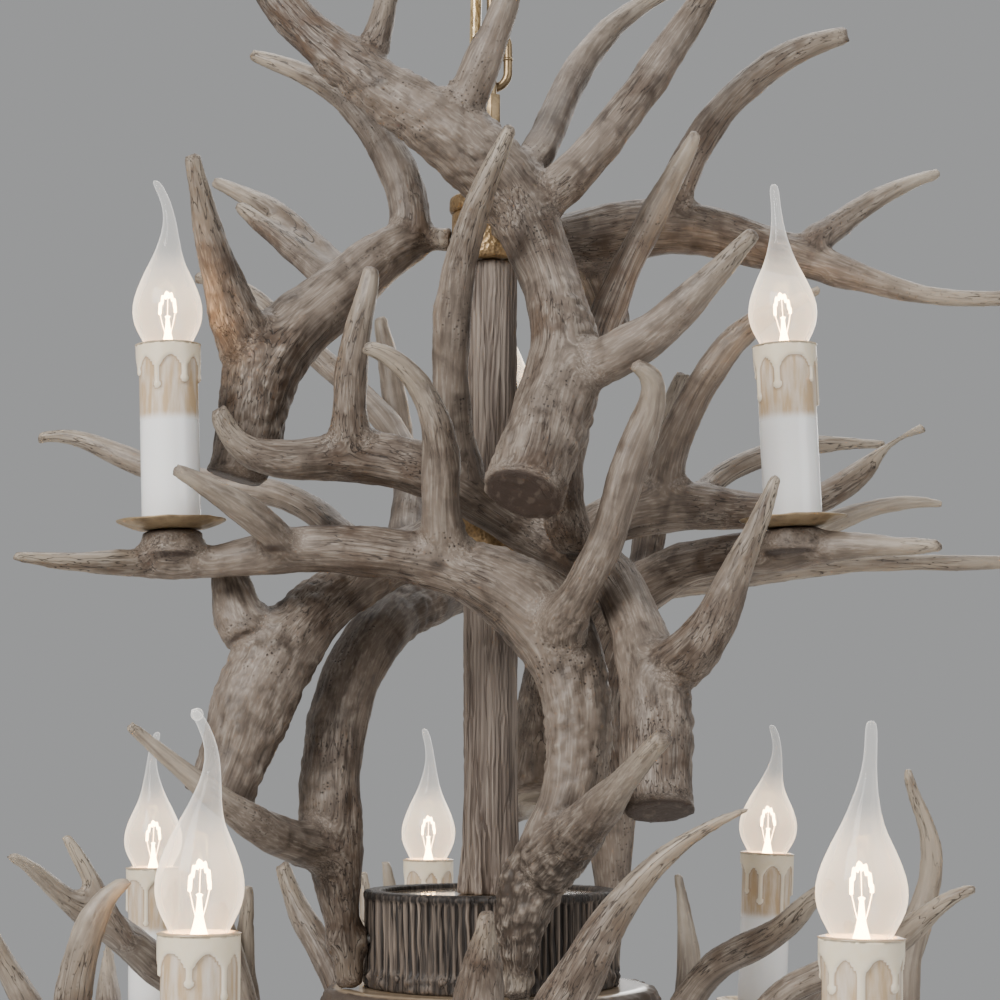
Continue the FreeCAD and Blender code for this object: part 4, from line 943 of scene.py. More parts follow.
def casting(node: str, voxel: float) -> bpy.types.Mesh:
    """A fine even mesh of a node's solids.

    Args:
        node: the node.
        voxel: the size of its faces, in metres.

    Returns:
        A new mesh. The node's own is left alone.
    """
    work = bmesh.new()
    work.from_mesh(FRAME["nodes"][node].data)
    bmesh.ops.remove_doubles(work, verts=work.verts, dist=2e-6)
    plain = bpy.data.meshes.new("plain")
    work.to_mesh(plain)
    work.free()
    holder = bpy.data.objects.new("holder", plain)
    bpy.context.scene.collection.objects.link(holder)
    remesh = holder.modifiers.new("even", "REMESH")
    remesh.mode = "VOXEL"
    remesh.voxel_size = voxel
    remesh.use_smooth_shade = True
    depsgraph = bpy.context.evaluated_depsgraph_get()
    fine = bpy.data.meshes.new_from_object(holder.evaluated_get(depsgraph))
    bpy.data.objects.remove(holder)
    bpy.data.meshes.remove(plain)
    for polygon in fine.polygons:
        polygon.use_smooth = True
    return fine


FRAME: dict = {}


def flat_ends(node: str, least: float) -> list[tuple[np.ndarray, np.ndarray]]:
    """The planes of a node's large flat faces.

    Args:
        node: the node.
        least: the smallest face that counts, in square metres.

    Returns:
        Each plane's normal and one point of it.
    """
    areas: dict[tuple, float] = {}
    planes: dict[tuple, tuple[np.ndarray, np.ndarray]] = {}
    for face in FRAME["nodes"][node].data.polygons:
        key = (*(round(part, 2) for part in face.normal), round(face.normal.dot(face.center), 4))
        areas[key] = areas.get(key, 0.0) + face.area
        planes.setdefault(key, (np.array(face.normal), np.array(face.center)))
    return [planes[key] for key, area in areas.items() if area > least]


# ---- the object's assemblies --------------------------------------------------------------
@dataclass
class CastAntlers:
    """All the antlers, each a casting with grooves, knobs and webs."""

    palette: Palette
    upper_voxel: float = 0.0016
    lower_voxel: float = 0.0019
    groove_depth: float = 0.00055
    grain_depth: float = 0.0003
    knob_height: float = 0.0016
    pearled: str = "antler_stump_front"
    pearls_from: float = -0.700
    webs: int = 40
    draw: float = 0.09
    end_area: float = 0.00022
    quick_factor: float = 1.8

    def build(self) -> None:
        """Dresses every node whose name starts with antler, apart from the screws."""
        names = sorted(entry["node"] for entry in FRAME["record"]["subparts"]
                       if entry["node"].startswith("antler_") and entry["node"] != "antler_screws")
        for seed, name in enumerate(names, 1):
            self.antler(name, seed)

    def antler(self, name: str, seed: int) -> None:
        """Dresses one antler.

        Args:
            name: its node.
            seed: makes its pattern its own.
        """
        voxel = self.lower_voxel if "lower" in name else self.upper_voxel
        skin = Skin(casting(name, voxel))
        skin.fill_creases(self.webs)
        texture = Texture3D(seed)
        heading = skin.heading(26)
        normals = skin.normals()
        depth = skin.thickness()
        thin = np.clip((0.021 - depth) / 0.014, 0, 1)
        stout = np.clip((depth - 0.020) / 0.010, 0, 1)
        broad = texture.streaks(skin.points, heading, 0.0052, 9, 1)
        grain = texture.streaks(skin.points, heading, 0.0021, 13, 5)
        region = texture.cloud(skin.points, 0.055, 7)
        knobby = np.clip((region - 0.42) * 4, 0, 1) * stout
        foot = np.clip((self.pearls_from - skin.points[:, 2]) / 0.03, 0, 1) * (name == self.pearled)
        knobby = np.maximum(knobby, foot * 1.2)
        lumps = texture.lumps(skin.points, 0.0056 if name == self.pearled else 0.0072, 11)
        cut = np.zeros(skin.count)
        for out, place in flat_ends(name, self.end_area):
            off = np.abs((skin.points - place) @ out)
            facing = np.clip(normals @ out * 2 - 0.7, 0, 1)
            cut = np.maximum(cut, np.clip((0.0022 - off) / 0.0012, 0, 1) * facing)
        waves = (texture.cloud(skin.points, 0.016, 21) - 0.5) * 0.0022 * (1 - 0.6 * thin)
        shape = ((broad - 0.5) * 2 * self.groove_depth * (1 - 0.7 * thin)
                 + (grain - 0.5) * 2 * self.grain_depth * (1 - 0.5 * thin)
                 + lumps ** 0.7 * knobby * self.knob_height + waves) * (1 - 0.8 * cut)
        round_it = skin.eased(normals, 8) * np.clip(depth, 0.008, 0.034)[:, None] / 2
        skin.paint_place("fibre", round_it + skin.points * self.draw + seed)
        skin.swell(normals, shape)
        inner = skin.eased(shape, 5)
        skin.paint("thin", thin)
        skin.paint("foot", skin.eased(foot, 2))
        skin.paint("knob", lumps * knobby)
        # hollow: how far each point lies below its neighbours, for the painted shade in the grooves
        skin.paint("hollow", np.clip(0.5 + (inner - shape) / 0.0016, 0, 1))
        skin.paint("cut", cut)
        dressed(name.replace("antler", "cast_antler"), skin.mesh, [self.palette.antler], "chandelier",
                [name])


@dataclass
class BarkBody:
    """The bark column, the stump drum and the slice plate."""

    palette: Palette
    column_voxel: float = 0.0013
    stump_voxel: float = 0.0013
    plate_voxel: float = 0.0018
    quick_factor: float = 1.7
    column_ridges: int = 36
    stump_ridges: int = 106

    def build(self) -> None:
        """Dresses the three bark nodes and the disc."""
        self.column()
        self.stump()
        self.plate()
        keep("stump_disc", self.palette.disc)

    def _skin(self, node: str, voxel: float) -> Skin:
        return Skin(casting(node, voxel * (1)))

    @staticmethod
    def ridges(texture: Texture3D, points: np.ndarray, count: int, wander: float) -> np.ndarray:
        """Upright ridges that wander, split and fade.

        Args:
            texture: the noise that moves them.
            points: where they are wanted.
            count: how many stand round the piece.
            wander: how many ridge widths they move aside.

        Returns:
            Each point's height, from 0 in a furrow to 1 on a ridge.
        """
        swing = (texture.cloud(points * [1, 1, 0.30], 0.016, 4) - 0.5) * wander
        swing += (texture.cloud(points * [1, 1, 0.5], 0.006, 5) - 0.5) * wander * 0.35
        wave = 0.5 + 0.5 * np.cos(np.arctan2(points[:, 1], points[:, 0]) * count + swing * 2 * math.pi)
        fade = texture.cloud(points * [1, 1, 0.22], 0.008, 6)
        return wave ** 1.3 * (0.45 + 0.55 * fade)

    def column(self) -> None:
        """Vertical ridges that wander, split and join."""
        skin = self._skin("column_sections", self.column_voxel)
        skin.points = skin.eased(skin.points, 2)
        texture = Texture3D(101)
        normals = skin.normals()
        reach = np.hypot(skin.points[:, 0], skin.points[:, 1])
        outer = np.clip((reach - 0.0105) / 0.002, 0, 1)
        ridges = self.ridges(texture, skin.points, self.column_ridges, 2.4)
        broad = texture.cloud(skin.points * [1, 1, 0.12], 0.006, 8)
        level = np.clip(1 - np.abs(normals[:, 2]), 0, 1)
        shape = ((ridges - 0.4) * 0.0012 + (broad - 0.5) * 0.0014) * outer * level
        skin.swell(normals, shape)
        skin.paint("raised", np.clip(0.5 + shape / 0.0014, 0, 1))
        dressed("column_bark", skin.mesh, [self.palette.bark], "chandelier", ["column_sections"])

    def stump(self) -> None:
        """Deep upright furrows, a thin raised rim and a knobby foot."""
        skin = self._skin("stump", self.stump_voxel)
        texture = Texture3D(102)
        normals = skin.normals()
        low, high = (corner[2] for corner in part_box("stump"))
        reach = np.hypot(skin.points[:, 0], skin.points[:, 1])
        outer = np.clip((reach - 0.0635) / 0.0015, 0, 1) * np.clip(1 - np.abs(normals[:, 2]), 0, 1)
        furrows = self.ridges(texture, skin.points, self.stump_ridges, 1.3)
        pearls = texture.lumps(skin.points, 0.0065, 6)
        foot = np.clip((low + 0.011 - skin.points[:, 2]) / 0.004, 0, 1)
        crown = np.clip((skin.points[:, 2] - high + 0.005) / 0.002, 0, 1)
        shape = (furrows - 0.55) * 0.0030 * outer * (1 - foot) * (1 - crown * 0.8)
        shape += pearls * foot * outer * 0.0026 + crown * outer * 0.0008
        skin.swell(normals, shape)
        skin.paint("raised", np.clip(0.56 + shape / 0.0030, 0, 1) * (1 - 0.8 * crown) * (1 - 0.5 * foot))
        dressed("stump_bark", skin.mesh, [self.palette.stump_bark], "chandelier", ["stump"])

    def plate(self) -> None:
        """A pale slice with a broken bark rim."""
        skin = self._skin("slice_plate", self.plate_voxel)
        texture = Texture3D(103)
        normals = skin.normals()
        reach = np.hypot(skin.points[:, 0], skin.points[:, 1])
        rim = np.clip((reach - 0.0825) / 0.003, 0, 1)
        shape = rim * ((texture.cloud(skin.points, 0.006, 1) - 0.5) * 0.0026
                       + (texture.cloud(skin.points, 0.0028, 2) - 0.5) * 0.0016)
        skin.swell(normals, shape)
        skin.paint("raised", np.clip(0.5 + shape / 0.002, 0, 1))
        dressed("plate_slice", skin.mesh, [self.palette.plate], "chandelier", ["slice_plate"])


def keep(node: str, finish: bpy.types.Material) -> None:
    """Gives a node that keeps its own shape a finish."""
    mesh = FRAME["nodes"][node].data
    mesh.materials.clear()
    mesh.materials.append(finish)


@dataclass
class Hubs:
    """The turned and hammered hubs, the cap, the cover and the finial."""

    palette: Palette
    bore: float = 0.0052
    dimple_size: float = 0.0075
    dimple_share: float = 0.35

    def build(self) -> None:
        """Makes each turned piece from its node's box."""
        self.cap()
        self.drum("top_hub", open_top=True)
        self.drum("mid_hub", open_top=False)
        self.drum("lower_hub", open_top=False)
        self.cover()
        self.finial()
        for node in ("centre_tube", "tube_nuts", "antler_screws", "lamp_nipples", "bracket_nipple",
                     "nipple_lock_nut"):
            keep(node, self.palette.zinc)
        for node in ("terminal_block", "lamp_holders"):
            keep(node, self.palette.insulator)
        keep("inner_cable", self.palette.cord)
        keep("ceiling_bracket", self.palette.gold)

    def _span(self, node: str) -> tuple[float, float, float]:
        """A round node's radius, bottom and top."""
        low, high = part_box(node)
        return (high[0] - low[0]) / 2, low[2], high[2]

    def _dimpled(self, piece: Workpiece, seed: int, depth: float) -> Workpiece:
        """Beats shallow dimples into a piece.

        Args:
            piece: the piece.
            seed: chooses the pattern.
            depth: the hammer's depth, of which dimple_share is kept.

        Returns:
            The same piece.
        """
        texture = Texture3D(seed)
        spots = np.array([vertex.co[:] for vertex in piece.mesh.verts])
        dents = texture.lumps(spots, self.dimple_size, 3) * depth * self.dimple_share
        piece.mesh.normal_update()
        for vertex, dent in zip(piece.mesh.verts, dents):
            vertex.co -= vertex.normal * float(dent)
        return piece

    def cap(self) -> None:
        """The lid, with a rolled edge, a stepped top and the cord's grommet."""
        radius, low, high = self._span("top_cap")
        outline = [(0.0054, low), (radius - 0.003, low), (radius - 0.0006, low + 0.0008),
                   (radius, low + 0.0022)]
        outline += [(radius, low + step * (high - low - 0.0042) / 4 + 0.0022) for step in range(1, 4)]
        outline += [(radius - 0.0004, high - 0.0012), (radius - 0.0018, high)]
        outline += [(radius - 0.0018 - k * (radius - 0.0098) / 6, high + 0.0001) for k in range(1, 7)]
        outline += [(0.0054, high), (0.0054, high - 0.004)]
        piece = Workpiece().turn(outline, 72)
        self._dimpled(piece, 31, 0.0006)
        grommet = [(0.0034, high - 0.001), (0.0052, high - 0.001), (0.0052, high + 0.0012),
                   (0.0046, high + 0.002), (0.0034, high + 0.002)]
        piece.turn(grommet, 24, True, Matrix.Translation((-0.0062, 0.0142, 0)), 1)
        piece.finish("hammered_cap", [self.palette.hammered, self.palette.gold], "chandelier",
                     "hammered_gold", ["top_cap"])

    def drum(self, node: str, open_top: bool) -> None:
        """A hub with rounded edges, hollow as its solid is.

        Args:
            node: the hub's node.
            open_top: whether it opens upwards, and not downwards.
        """
        radius, low, high = self._span(node)
        wall = 0.004 if node == "lower_hub" else 0.003
        rise = high - low
        side = [(radius, low + 0.0012 + k * (rise - 0.0024) / 8) for k in range(9)]
        if open_top:
            outline = [(self.bore, low), (radius - 0.0012, low)] + side + [
                (radius - 0.001, high), (radius - wall, high), (radius - wall, low + wall),
                (self.bore, low + wall)]
        else:
            outline = [(radius - wall, low), (radius - 0.0012, low)] + side + [
                (radius - 0.0012, high), (self.bore, high), (self.bore, high - wall),
                (radius - wall, high - wall)]
        piece = Workpiece().turn(outline, 72)
        self._dimpled(piece, 37, 0.0005)
        piece.finish("hammered_" + node, [self.palette.hammered], "chandelier", "hammered_gold", [node])

    def cover(self) -> None:
        """The shallow bowl under the lower hub."""
        radius, low, high = self._span("bottom_cover")
        depth = high - low
        outer = [(radius * math.cos(a), high - depth * math.sin(a) ** 0.8) for a in
                 (k * math.radians(66) / 10 for k in range(11))]
        outer = [(r, max(z, low)) for r, z in outer] + [(self.bore, low)]
        inner = [(self.bore, low + 0.003)]
        inner += [(max(r - 0.003, self.bore), min(z + 0.0028, high)) for r, z in outer[-2::-1]]
        self._dimpled(Workpiece().turn(outer + inner, 72), 41, 0.0005).finish(
            "hammered_cover", [self.palette.hammered], "chandelier", "hammered_gold", ["bottom_cover"])

    def finial(self) -> None:
        """The turned drop at the bottom."""
        radius, low, high = self._span("finial")
        shares = [(0.0, 0.0), (0.28, 0.03), (0.44, 0.09), (0.66, 0.2), (0.86, 0.33), (0.98, 0.45),
                  (1.0, 0.54), (0.93, 0.64), (0.76, 0.72), (0.55, 0.79), (0.52, 0.83), (0.7, 0.87),
                  (0.76, 0.91), (0.76, 0.97), (0.72, 1.0), (0.0, 1.0)]
        outline = [(radius * r, low + (high - low) * z) for r, z in shares]
        Workpiece().turn(outline, 48, False).finish("turned_finial", [self.palette.hammered], "chandelier",
                                                    "hammered_gold", ["finial"])


@dataclass
class Hanger:
    """The ceiling fitting, the chain, the quick link, the eye and the cord."""

    palette: Palette
    route: tuple = ((-0.0085, 0.0156, -0.0324), (-0.0088, 0.0162, -0.07), (-0.0106, 0.0174, -0.1178),
                    (-0.0094, 0.0192, -0.1691), (-0.0074, 0.0184, -0.2135), (-0.0088, 0.0166, -0.2614),
                    (-0.0096, 0.0164, -0.3092), (-0.0074, 0.0152, -0.3434), (-0.0062, 0.0142, -0.3742))
    cord_radius: float = 0.0032

    def build(self) -> None:
        """Makes the canopy, the chain, the quick link and the eye, from the ceiling down."""
        self.canopy()
        self.chain()
        self.quick_link()
        self.eye()

    def cord(self) -> None:
        """The supply cord, one smooth spline from the canopy into the cap."""
        curve = bpy.data.curves.new("supply_flex", "CURVE")
        curve.dimensions = "3D"
        curve.bevel_depth = self.cord_radius
        curve.bevel_resolution = 5
        curve.use_fill_caps = True
        curve.resolution_u = 16
        spline = curve.splines.new("NURBS")
        spline.points.add(len(self.route) - 1)
        for point, place in zip(spline.points, self.route):
            point.co = (*place, 1.0)
        spline.order_u = 3
        spline.use_endpoint_u = True
        curve.materials.append(self.palette.cord)
        piece = bpy.data.objects.new("supply_flex", curve)
        bpy.context.scene.collection.objects.link(piece)
        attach(piece, "chandelier")
        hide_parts("supply_cord")

    def canopy(self) -> None:
        """The spun dome with a rolled rim and a step, and its loop."""
        low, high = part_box("canopy")
        radius, top, bottom = (high[0] - low[0]) / 2, high[2], low[2]
        depth = top - bottom
        bore = 0.0052
        outer = [(radius, top), (radius, top - 0.0055), (radius - 0.0008, top - 0.0072),
                 (radius - 0.002, top - 0.008), (radius - 0.0035, top - 0.009)]
        outer += [(radius * (0.93 - 0.58 * s ** 1.25), top - depth * (0.28 + 0.68 * s ** 0.8)) for s in
                  (k / 10 for k in range(11))]
        outer += [(0.0195, bottom + 0.0004), (0.0125, bottom), (0.0125, bottom - 0.0004),
                  (bore, bottom - 0.0004)]
        inner = [(max(r - 0.0016, bore), min(z + 0.0014, top)) for r, z in reversed(outer[:-3])]
        Workpiece().turn(outer + [(bore, bottom + 0.0014)] + inner, 96).finish(
            "spun_canopy", [self.palette.hammered], "ceiling", "painted_steel", ["canopy"])
        low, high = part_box("canopy_loop")
        wire = 0.0028
        ring = (high[1] - low[1]) / 2 - wire
        centre = low[2] + wire + ring
        top = high[2]
        foot = top - 0.012
        profile = [(0.0, top), (0.0086, top), (0.009, top - 0.0006), (0.009, top - 0.0085),
                   (0.0082, top - 0.0105), (0.0055, foot - 0.0004), (0.0, foot - 0.0006)]
        turn = Matrix.Translation((0, 0, centre)) @ Matrix.Rotation(math.pi / 2, 4, "Z")
        Workpiece().turn(profile, 40, False).link(ring, 0.0, wire, turn).finish(
            "canopy_eye", [self.palette.gold], "ceiling", "painted_steel", ["canopy_loop"])

    def chain(self) -> None:
        """Welded oval links, each one a quarter turn on from the last."""
        wire = 0.0025
        low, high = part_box("top_chain_link")
        half_width = max((high[0] - low[0]) / 2, (high[1] - low[1]) / 2) - wire
        length = high[2] - low[2]
        straight = length - 2 * (half_width + wire)
        middle = (low[2] + high[2]) / 2
        Workpiece().link(half_width, straight, wire, Matrix.Translation((0, 0, middle))).finish(
            "first_link", [self.palette.gold], "top_link", "painted_steel", ["top_chain_link"])
        rest_low, rest_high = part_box("chain_links")[0][2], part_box("chain_links")[1][2]
        count = 8
        pitch = (rest_high - rest_low - length) / (count - 1)
        chain = Workpiece()
        for k in range(count):
            centre = rest_high - length / 2 - k * pitch
            turn = math.pi / 2 if k % 2 == 0 else 0.0
            place = Matrix.Translation((0, 0, centre)) @ Matrix.Rotation(turn, 4, "Z")
            chain.link(half_width, straight, wire, place)
            weld = place @ Matrix.Translation((half_width, 0, 0))
            chain.turn([(0.0, -0.0013), (wire * 1.07, -0.0009), (wire * 1.12, 0.0), (wire * 1.07, 0.0009),
                        (0.0, 0.0013)], 14, False, weld)
        chain.finish("chain_run", [self.palette.gold], "chandelier", "painted_steel", ["chain_links"])

    def quick_link(self) -> None:
        """The zinc link with its sleeve nut and thread."""
        low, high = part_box("quick_link")
        wire = (high[0] - low[0]) / 2
        half_width = (high[1] - low[1]) / 2 - wire
        straight = high[2] - low[2] - 2 * (half_width + wire)
        centre = (low[2] + high[2]) / 2
        turn = Matrix.Translation((0, 0, centre)) @ Matrix.Rotation(math.pi / 2, 4, "Z")
        side = Matrix.Translation((0, -half_width, centre))
        link = Workpiece().link(half_width, straight, wire, turn)
        thread = [(wire * 0.9, -0.0125)]
        thread += [(wire * (1.05 if k % 2 else 0.93), -0.0122 + 0.00045 * k) for k in range(9)]
        link.turn(thread + [(wire * 0.9, -0.0083)], 24, False, side)
        link.finish("zinc_quick_link", [self.palette.gold, self.palette.zinc], "chandelier", "zinc_steel",
                    ["quick_link"])
        low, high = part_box("quick_link_nut")
        height = high[2] - low[2]
        across = min(high[0] - low[0], high[1] - low[1])
        middle = Matrix.Translation((0, (low[1] + high[1]) / 2, (low[2] + high[2]) / 2))
        nut = Workpiece().prism(6, across / math.sqrt(3), height, 0.0005, middle)
        collar = [(across * 0.3, -height / 2 - 0.0001), (across * 0.44, -height / 2 - 0.0001),
                  (across * 0.49, -height / 2 + 0.0008), (across * 0.3, -height / 2 + 0.0008)]
        nut.turn(collar, 24, True, middle).turn([(r, -z) for r, z in collar], 24, True, middle)
        nut.finish("sleeve_nut", [self.palette.gold], "quick_nut", "zinc_steel", ["quick_link_nut"])

    def eye(self) -> None:
        """The ring on its stepped stem."""
        low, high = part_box("eye_loop")
        wire = 0.0028
        ring = (high[0] - low[0]) / 2 - wire
        centre = high[2] - wire - ring
        foot = low[2]
        stem = [(0.0, foot), (0.0065, foot), (0.0065, foot + 0.0012), (0.0058, foot + 0.002),
                (0.0058, foot + 0.0068), (0.0063, foot + 0.0078), (0.0052, foot + 0.0096),
                (0.0034, foot + 0.0112), (wire, centre - ring - 0.0005), (0.0, centre - ring)]
        Workpiece().turn(stem, 36, False).link(ring, 0.0, wire, Matrix.Translation((0, 0, centre))).finish(
            "eye_ring", [self.palette.gold], "chandelier", "painted_steel", ["eye_loop"])


class Tail(Enum):
    """A drawn-out tail, in millimetres: its tip's shift right and back, its sway, and the lamp's height."""

    HOOKED = (-5.0, 0.0, 3.5, 86.0)
    UPRIGHT = (-1.0, 2.0, 0.0, 86.0)
    LEANING = (3.0, -3.0, -2.0, 84.0)
    CURLED = (-3.5, 2.0, 5.5, 88.0)
    RIGHT = (3.4, 0.0, 1.5, 82.5)
    SWEPT = (3.0, 0.0, 2.0, 84.0)
    ARCHED = (-4.0, 2.0, 3.0, 86.0)
    SHORT = (0.0, 0.0, 4.0, 78.5)
    LEFT = (-3.0, 0.0, 2.0, 86.0)
    BACKWARD = (2.0, 3.0, -2.0, 83.0)
    BOWED = (4.0, -2.0, -3.0, 85.0)
    DROOPING = (-3.0, 3.0, 2.0, 85.0)


@dataclass
class Candles:
    """Pans, sleeves and lamps, each candle in its own leaning frame."""

    palette: Palette
    tails: tuple = (Tail.HOOKED, Tail.UPRIGHT, Tail.LEANING, Tail.CURLED, Tail.RIGHT, Tail.SWEPT, Tail.ARCHED,
                    Tail.SHORT, Tail.LEFT, Tail.BACKWARD, Tail.BOWED, Tail.DROOPING)
    sleeve_radius: float = 0.015
    sleeve_foot: float = 0.0018
    sleeve_height: float = 0.094
    bulb_radius: float = 0.0178
    band: float = 0.0105
    drips: int = 7
    hem: float = 0.0030
    wax_edge: float = 0.0014
    wax_depth: float = 0.0016
    frames: dict = field(default_factory=dict)

    def build(self) -> None:
        """Reads each lamp's joint for its place and lean, then makes the candles."""
        for joint in FRAME["record"]["behaviour"]["joints"]:
            if joint["name"].startswith("unscrew_"):
                axis = Vector(joint["axis"]).normalized()
                lean = Matrix.Rotation(math.atan2(axis.x, axis.z), 4, "Y")
                self.frames[joint["name"].replace("unscrew_", "")] = Matrix.Translation(joint["pos_m"]) @ lean
        self.pans()
        self.sleeves()
        for (name, frame), tail in zip(sorted(self.frames.items()), self.tails):
            self.lamp(name, frame, tail)

    def pans(self) -> None:
        """Hammered dishes with rolled rims."""
        dishes = Workpiece()
        outline = [(0.00405, 0.0), (0.0100, 0.0), (0.0168, 0.0001), (0.0200, 0.0010), (0.0232, 0.0022),
                   (0.0258, 0.0033), (0.0273, 0.0040), (0.0280, 0.0045), (0.0280, 0.0050), (0.0274, 0.0052),
                   (0.0264, 0.0048), (0.0243, 0.0037), (0.0210, 0.0026), (0.0168, 0.0018), (0.0100, 0.0017),
                   (0.00405, 0.0017)]
        for frame in self.frames.values():
            dishes.turn(outline, 72, True, frame)
        texture = Texture3D(51)
        spots = np.array([vertex.co[:] for vertex in dishes.mesh.verts])
        waves = (texture.cloud(spots, 0.007, 1) - 0.5) * 0.0007
        for vertex, wave in zip(dishes.mesh.verts, waves):
            vertex.co.z += float(wave)
        dishes.finish("hammered_pans", [self.palette.pan], "chandelier", "hammered_gold", ["drip_pans"])

    def _drips(self, angle: np.ndarray, height: np.ndarray, seed: int) -> tuple[np.ndarray, np.ndarray]:
        """Where the set wax and the tan wash lie.

        Args:
            angle: bearings round the sleeve.
            height: heights above the sleeve's foot.
            seed: makes this candle's drips its own.

        Returns:
            The wax's share of its full thickness, and the share of tan wash.
        """
        rng = np.random.default_rng(seed)
        count = self.drips
        band = self.sleeve_height - self.band
        gap = np.full_like(angle, 1.0)
        for k in range(count):
            bearing = (k + rng.uniform(-0.22, 0.22)) * 2 * math.pi / count
            drop = rng.choice([0.005, 0.009, 0.014, 0.020, 0.0265]) * rng.uniform(0.85, 1.1)
            width = rng.uniform(0.0012, 0.0017)
            across = np.abs((angle - bearing + math.pi) % (2 * math.pi) - math.pi) * self.sleeve_radius
            lowest = band - drop
            beyond = np.maximum(lowest - height, 0) + np.maximum(height - band, 0)
            bead = np.hypot(across, height - lowest) - width * 1.35
            flare = 0.9 + 0.35 * np.clip((height - band + 0.004) / 0.004, 0, 1)
            shaft = np.hypot(across, beyond) - width * flare
            gap = np.minimum(gap, np.minimum(shaft, bead))
            arch = band + self.hem - 0.0066 * np.exp(-(across / 0.0036) ** 2)
            near = across < math.pi * self.sleeve_radius / count * 1.2
            gap = np.where(near, np.minimum(gap, (arch - height)), gap)
        gap = np.minimum(gap, band + self.hem - height)
        wax = np.clip(0.5 - gap / self.wax_edge, 0, 1)
        wax = wax * wax * (3 - 2 * wax)
        washed = np.clip((height - band + 0.030) / 0.004, 0, 1) * (1 - wax)
        return wax, washed

    def sleeves(self) -> None:
        """Tubes with drips, a rolled lip and an open mouth."""
        wall = 0.0014
        rows = 68
        steps = 84
        group = Workpiece()
        lip = [(0.0, -0.0012), (0.00035, -0.0006), (0.0002, -0.0001), (-0.0004, 0.0),
               (-wall + 0.0003, -0.0001), (-wall, -0.0007)]
        top = self.sleeve_height
        outer = [(self.sleeve_radius, top * (k / rows) ** 0.72) for k in range(rows)]
        outline = outer + [(self.sleeve_radius + r, top + z) for r, z in lip]
        outline += [(self.sleeve_radius - wall, top * share) for share in (0.9, 0.6, 0.0)]
        values: list[list[float]] = [[], [], []]
        for seed, (_, frame) in enumerate(sorted(self.frames.items()), 60):
            single = Workpiece().turn(outline, steps)
            spots = np.array([vertex.co[:] for vertex in single.mesh.verts])
            angle = np.arctan2(spots[:, 1], spots[:, 0])
            reach = np.hypot(spots[:, 0], spots[:, 1])
            wax, washed = self._drips(angle, spots[:, 2], seed)
            outside = reach > self.sleeve_radius - 0.0003
            proud = np.where(outside & (spots[:, 2] < top - 0.0002), wax * self.wax_depth, 0.0)
            for vertex, bearing, step in zip(single.mesh.verts, angle, proud):
                vertex.co += Vector((math.cos(bearing), math.sin(bearing), 0.0)) * float(step)
                vertex.co.z += self.sleeve_foot
            rim = np.clip((spots[:, 2] - top + 0.0016) / 0.001, 0, 1)
            rim *= 0.4 + 0.6 * (reach > self.sleeve_radius)
            for store, part in zip(values, (wax, washed, rim)):
                store.extend(part.tolist())
            group.join(single.mesh, frame, 0, False)
        piece = group.finish("dripped_sleeves", [self.palette.wax], "chandelier", "candle",
                             ["candle_sleeves"])
        for name, store in zip(("drip", "washed", "rim"), values):
            layer = piece.data.attributes.new(name, "FLOAT", "POINT")
            layer.data.foreach_set("value", np.array(store, dtype=np.float32))

    def lamp(self, name: str, frame: Matrix, tail: Tail) -> None:
        """One lamp: its envelope, and the cap, stem, wires and filament inside.

        Args:
            name: the lamp's node.
            frame: its candle's frame.
            tail: how its tail runs.
        """
        body = "lamp_" + name[-2:]
        mouth = self.sleeve_foot + self.sleeve_height
        shares = [(0.36, -0.128), (0.42, -0.1), (0.5, -0.07), (0.58, -0.04), (0.66, -0.005), (0.76, 0.035),
                  (0.86, 0.075), (0.94, 0.115), (0.985, 0.155), (1.0, 0.19), (0.99, 0.235), (0.945, 0.28),
                  (0.865, 0.33), (0.765, 0.38), (0.655, 0.43), (0.55, 0.475), (0.46, 0.52), (0.375, 0.57),
                  (0.31, 0.62), (0.25, 0.67), (0.205, 0.72), (0.17, 0.77), (0.15, 0.82), (0.14, 0.87),
                  (0.135, 0.92), (0.13, 0.955), (0.105, 0.985), (0.06, 0.997), (0.0, 1.0)]
        right, back, swing, tall = (value * MM for value in tail.value)
        outline = [(self.bulb_radius * r, mouth + tall * z) for r, z in shares]
        envelope = Workpiece().turn(outline, 44, False)

        def bent(point: Vector) -> Vector:
            """Bends the tail."""
            share = max((point.z - mouth) / tall - 0.45, 0.0) / 0.55
            bend = min(share * share, 1.0)
            return Vector((point.x + right * bend + swing * math.sin(math.pi * bend ** 0.7),
                           point.y + back * bend, point.z))

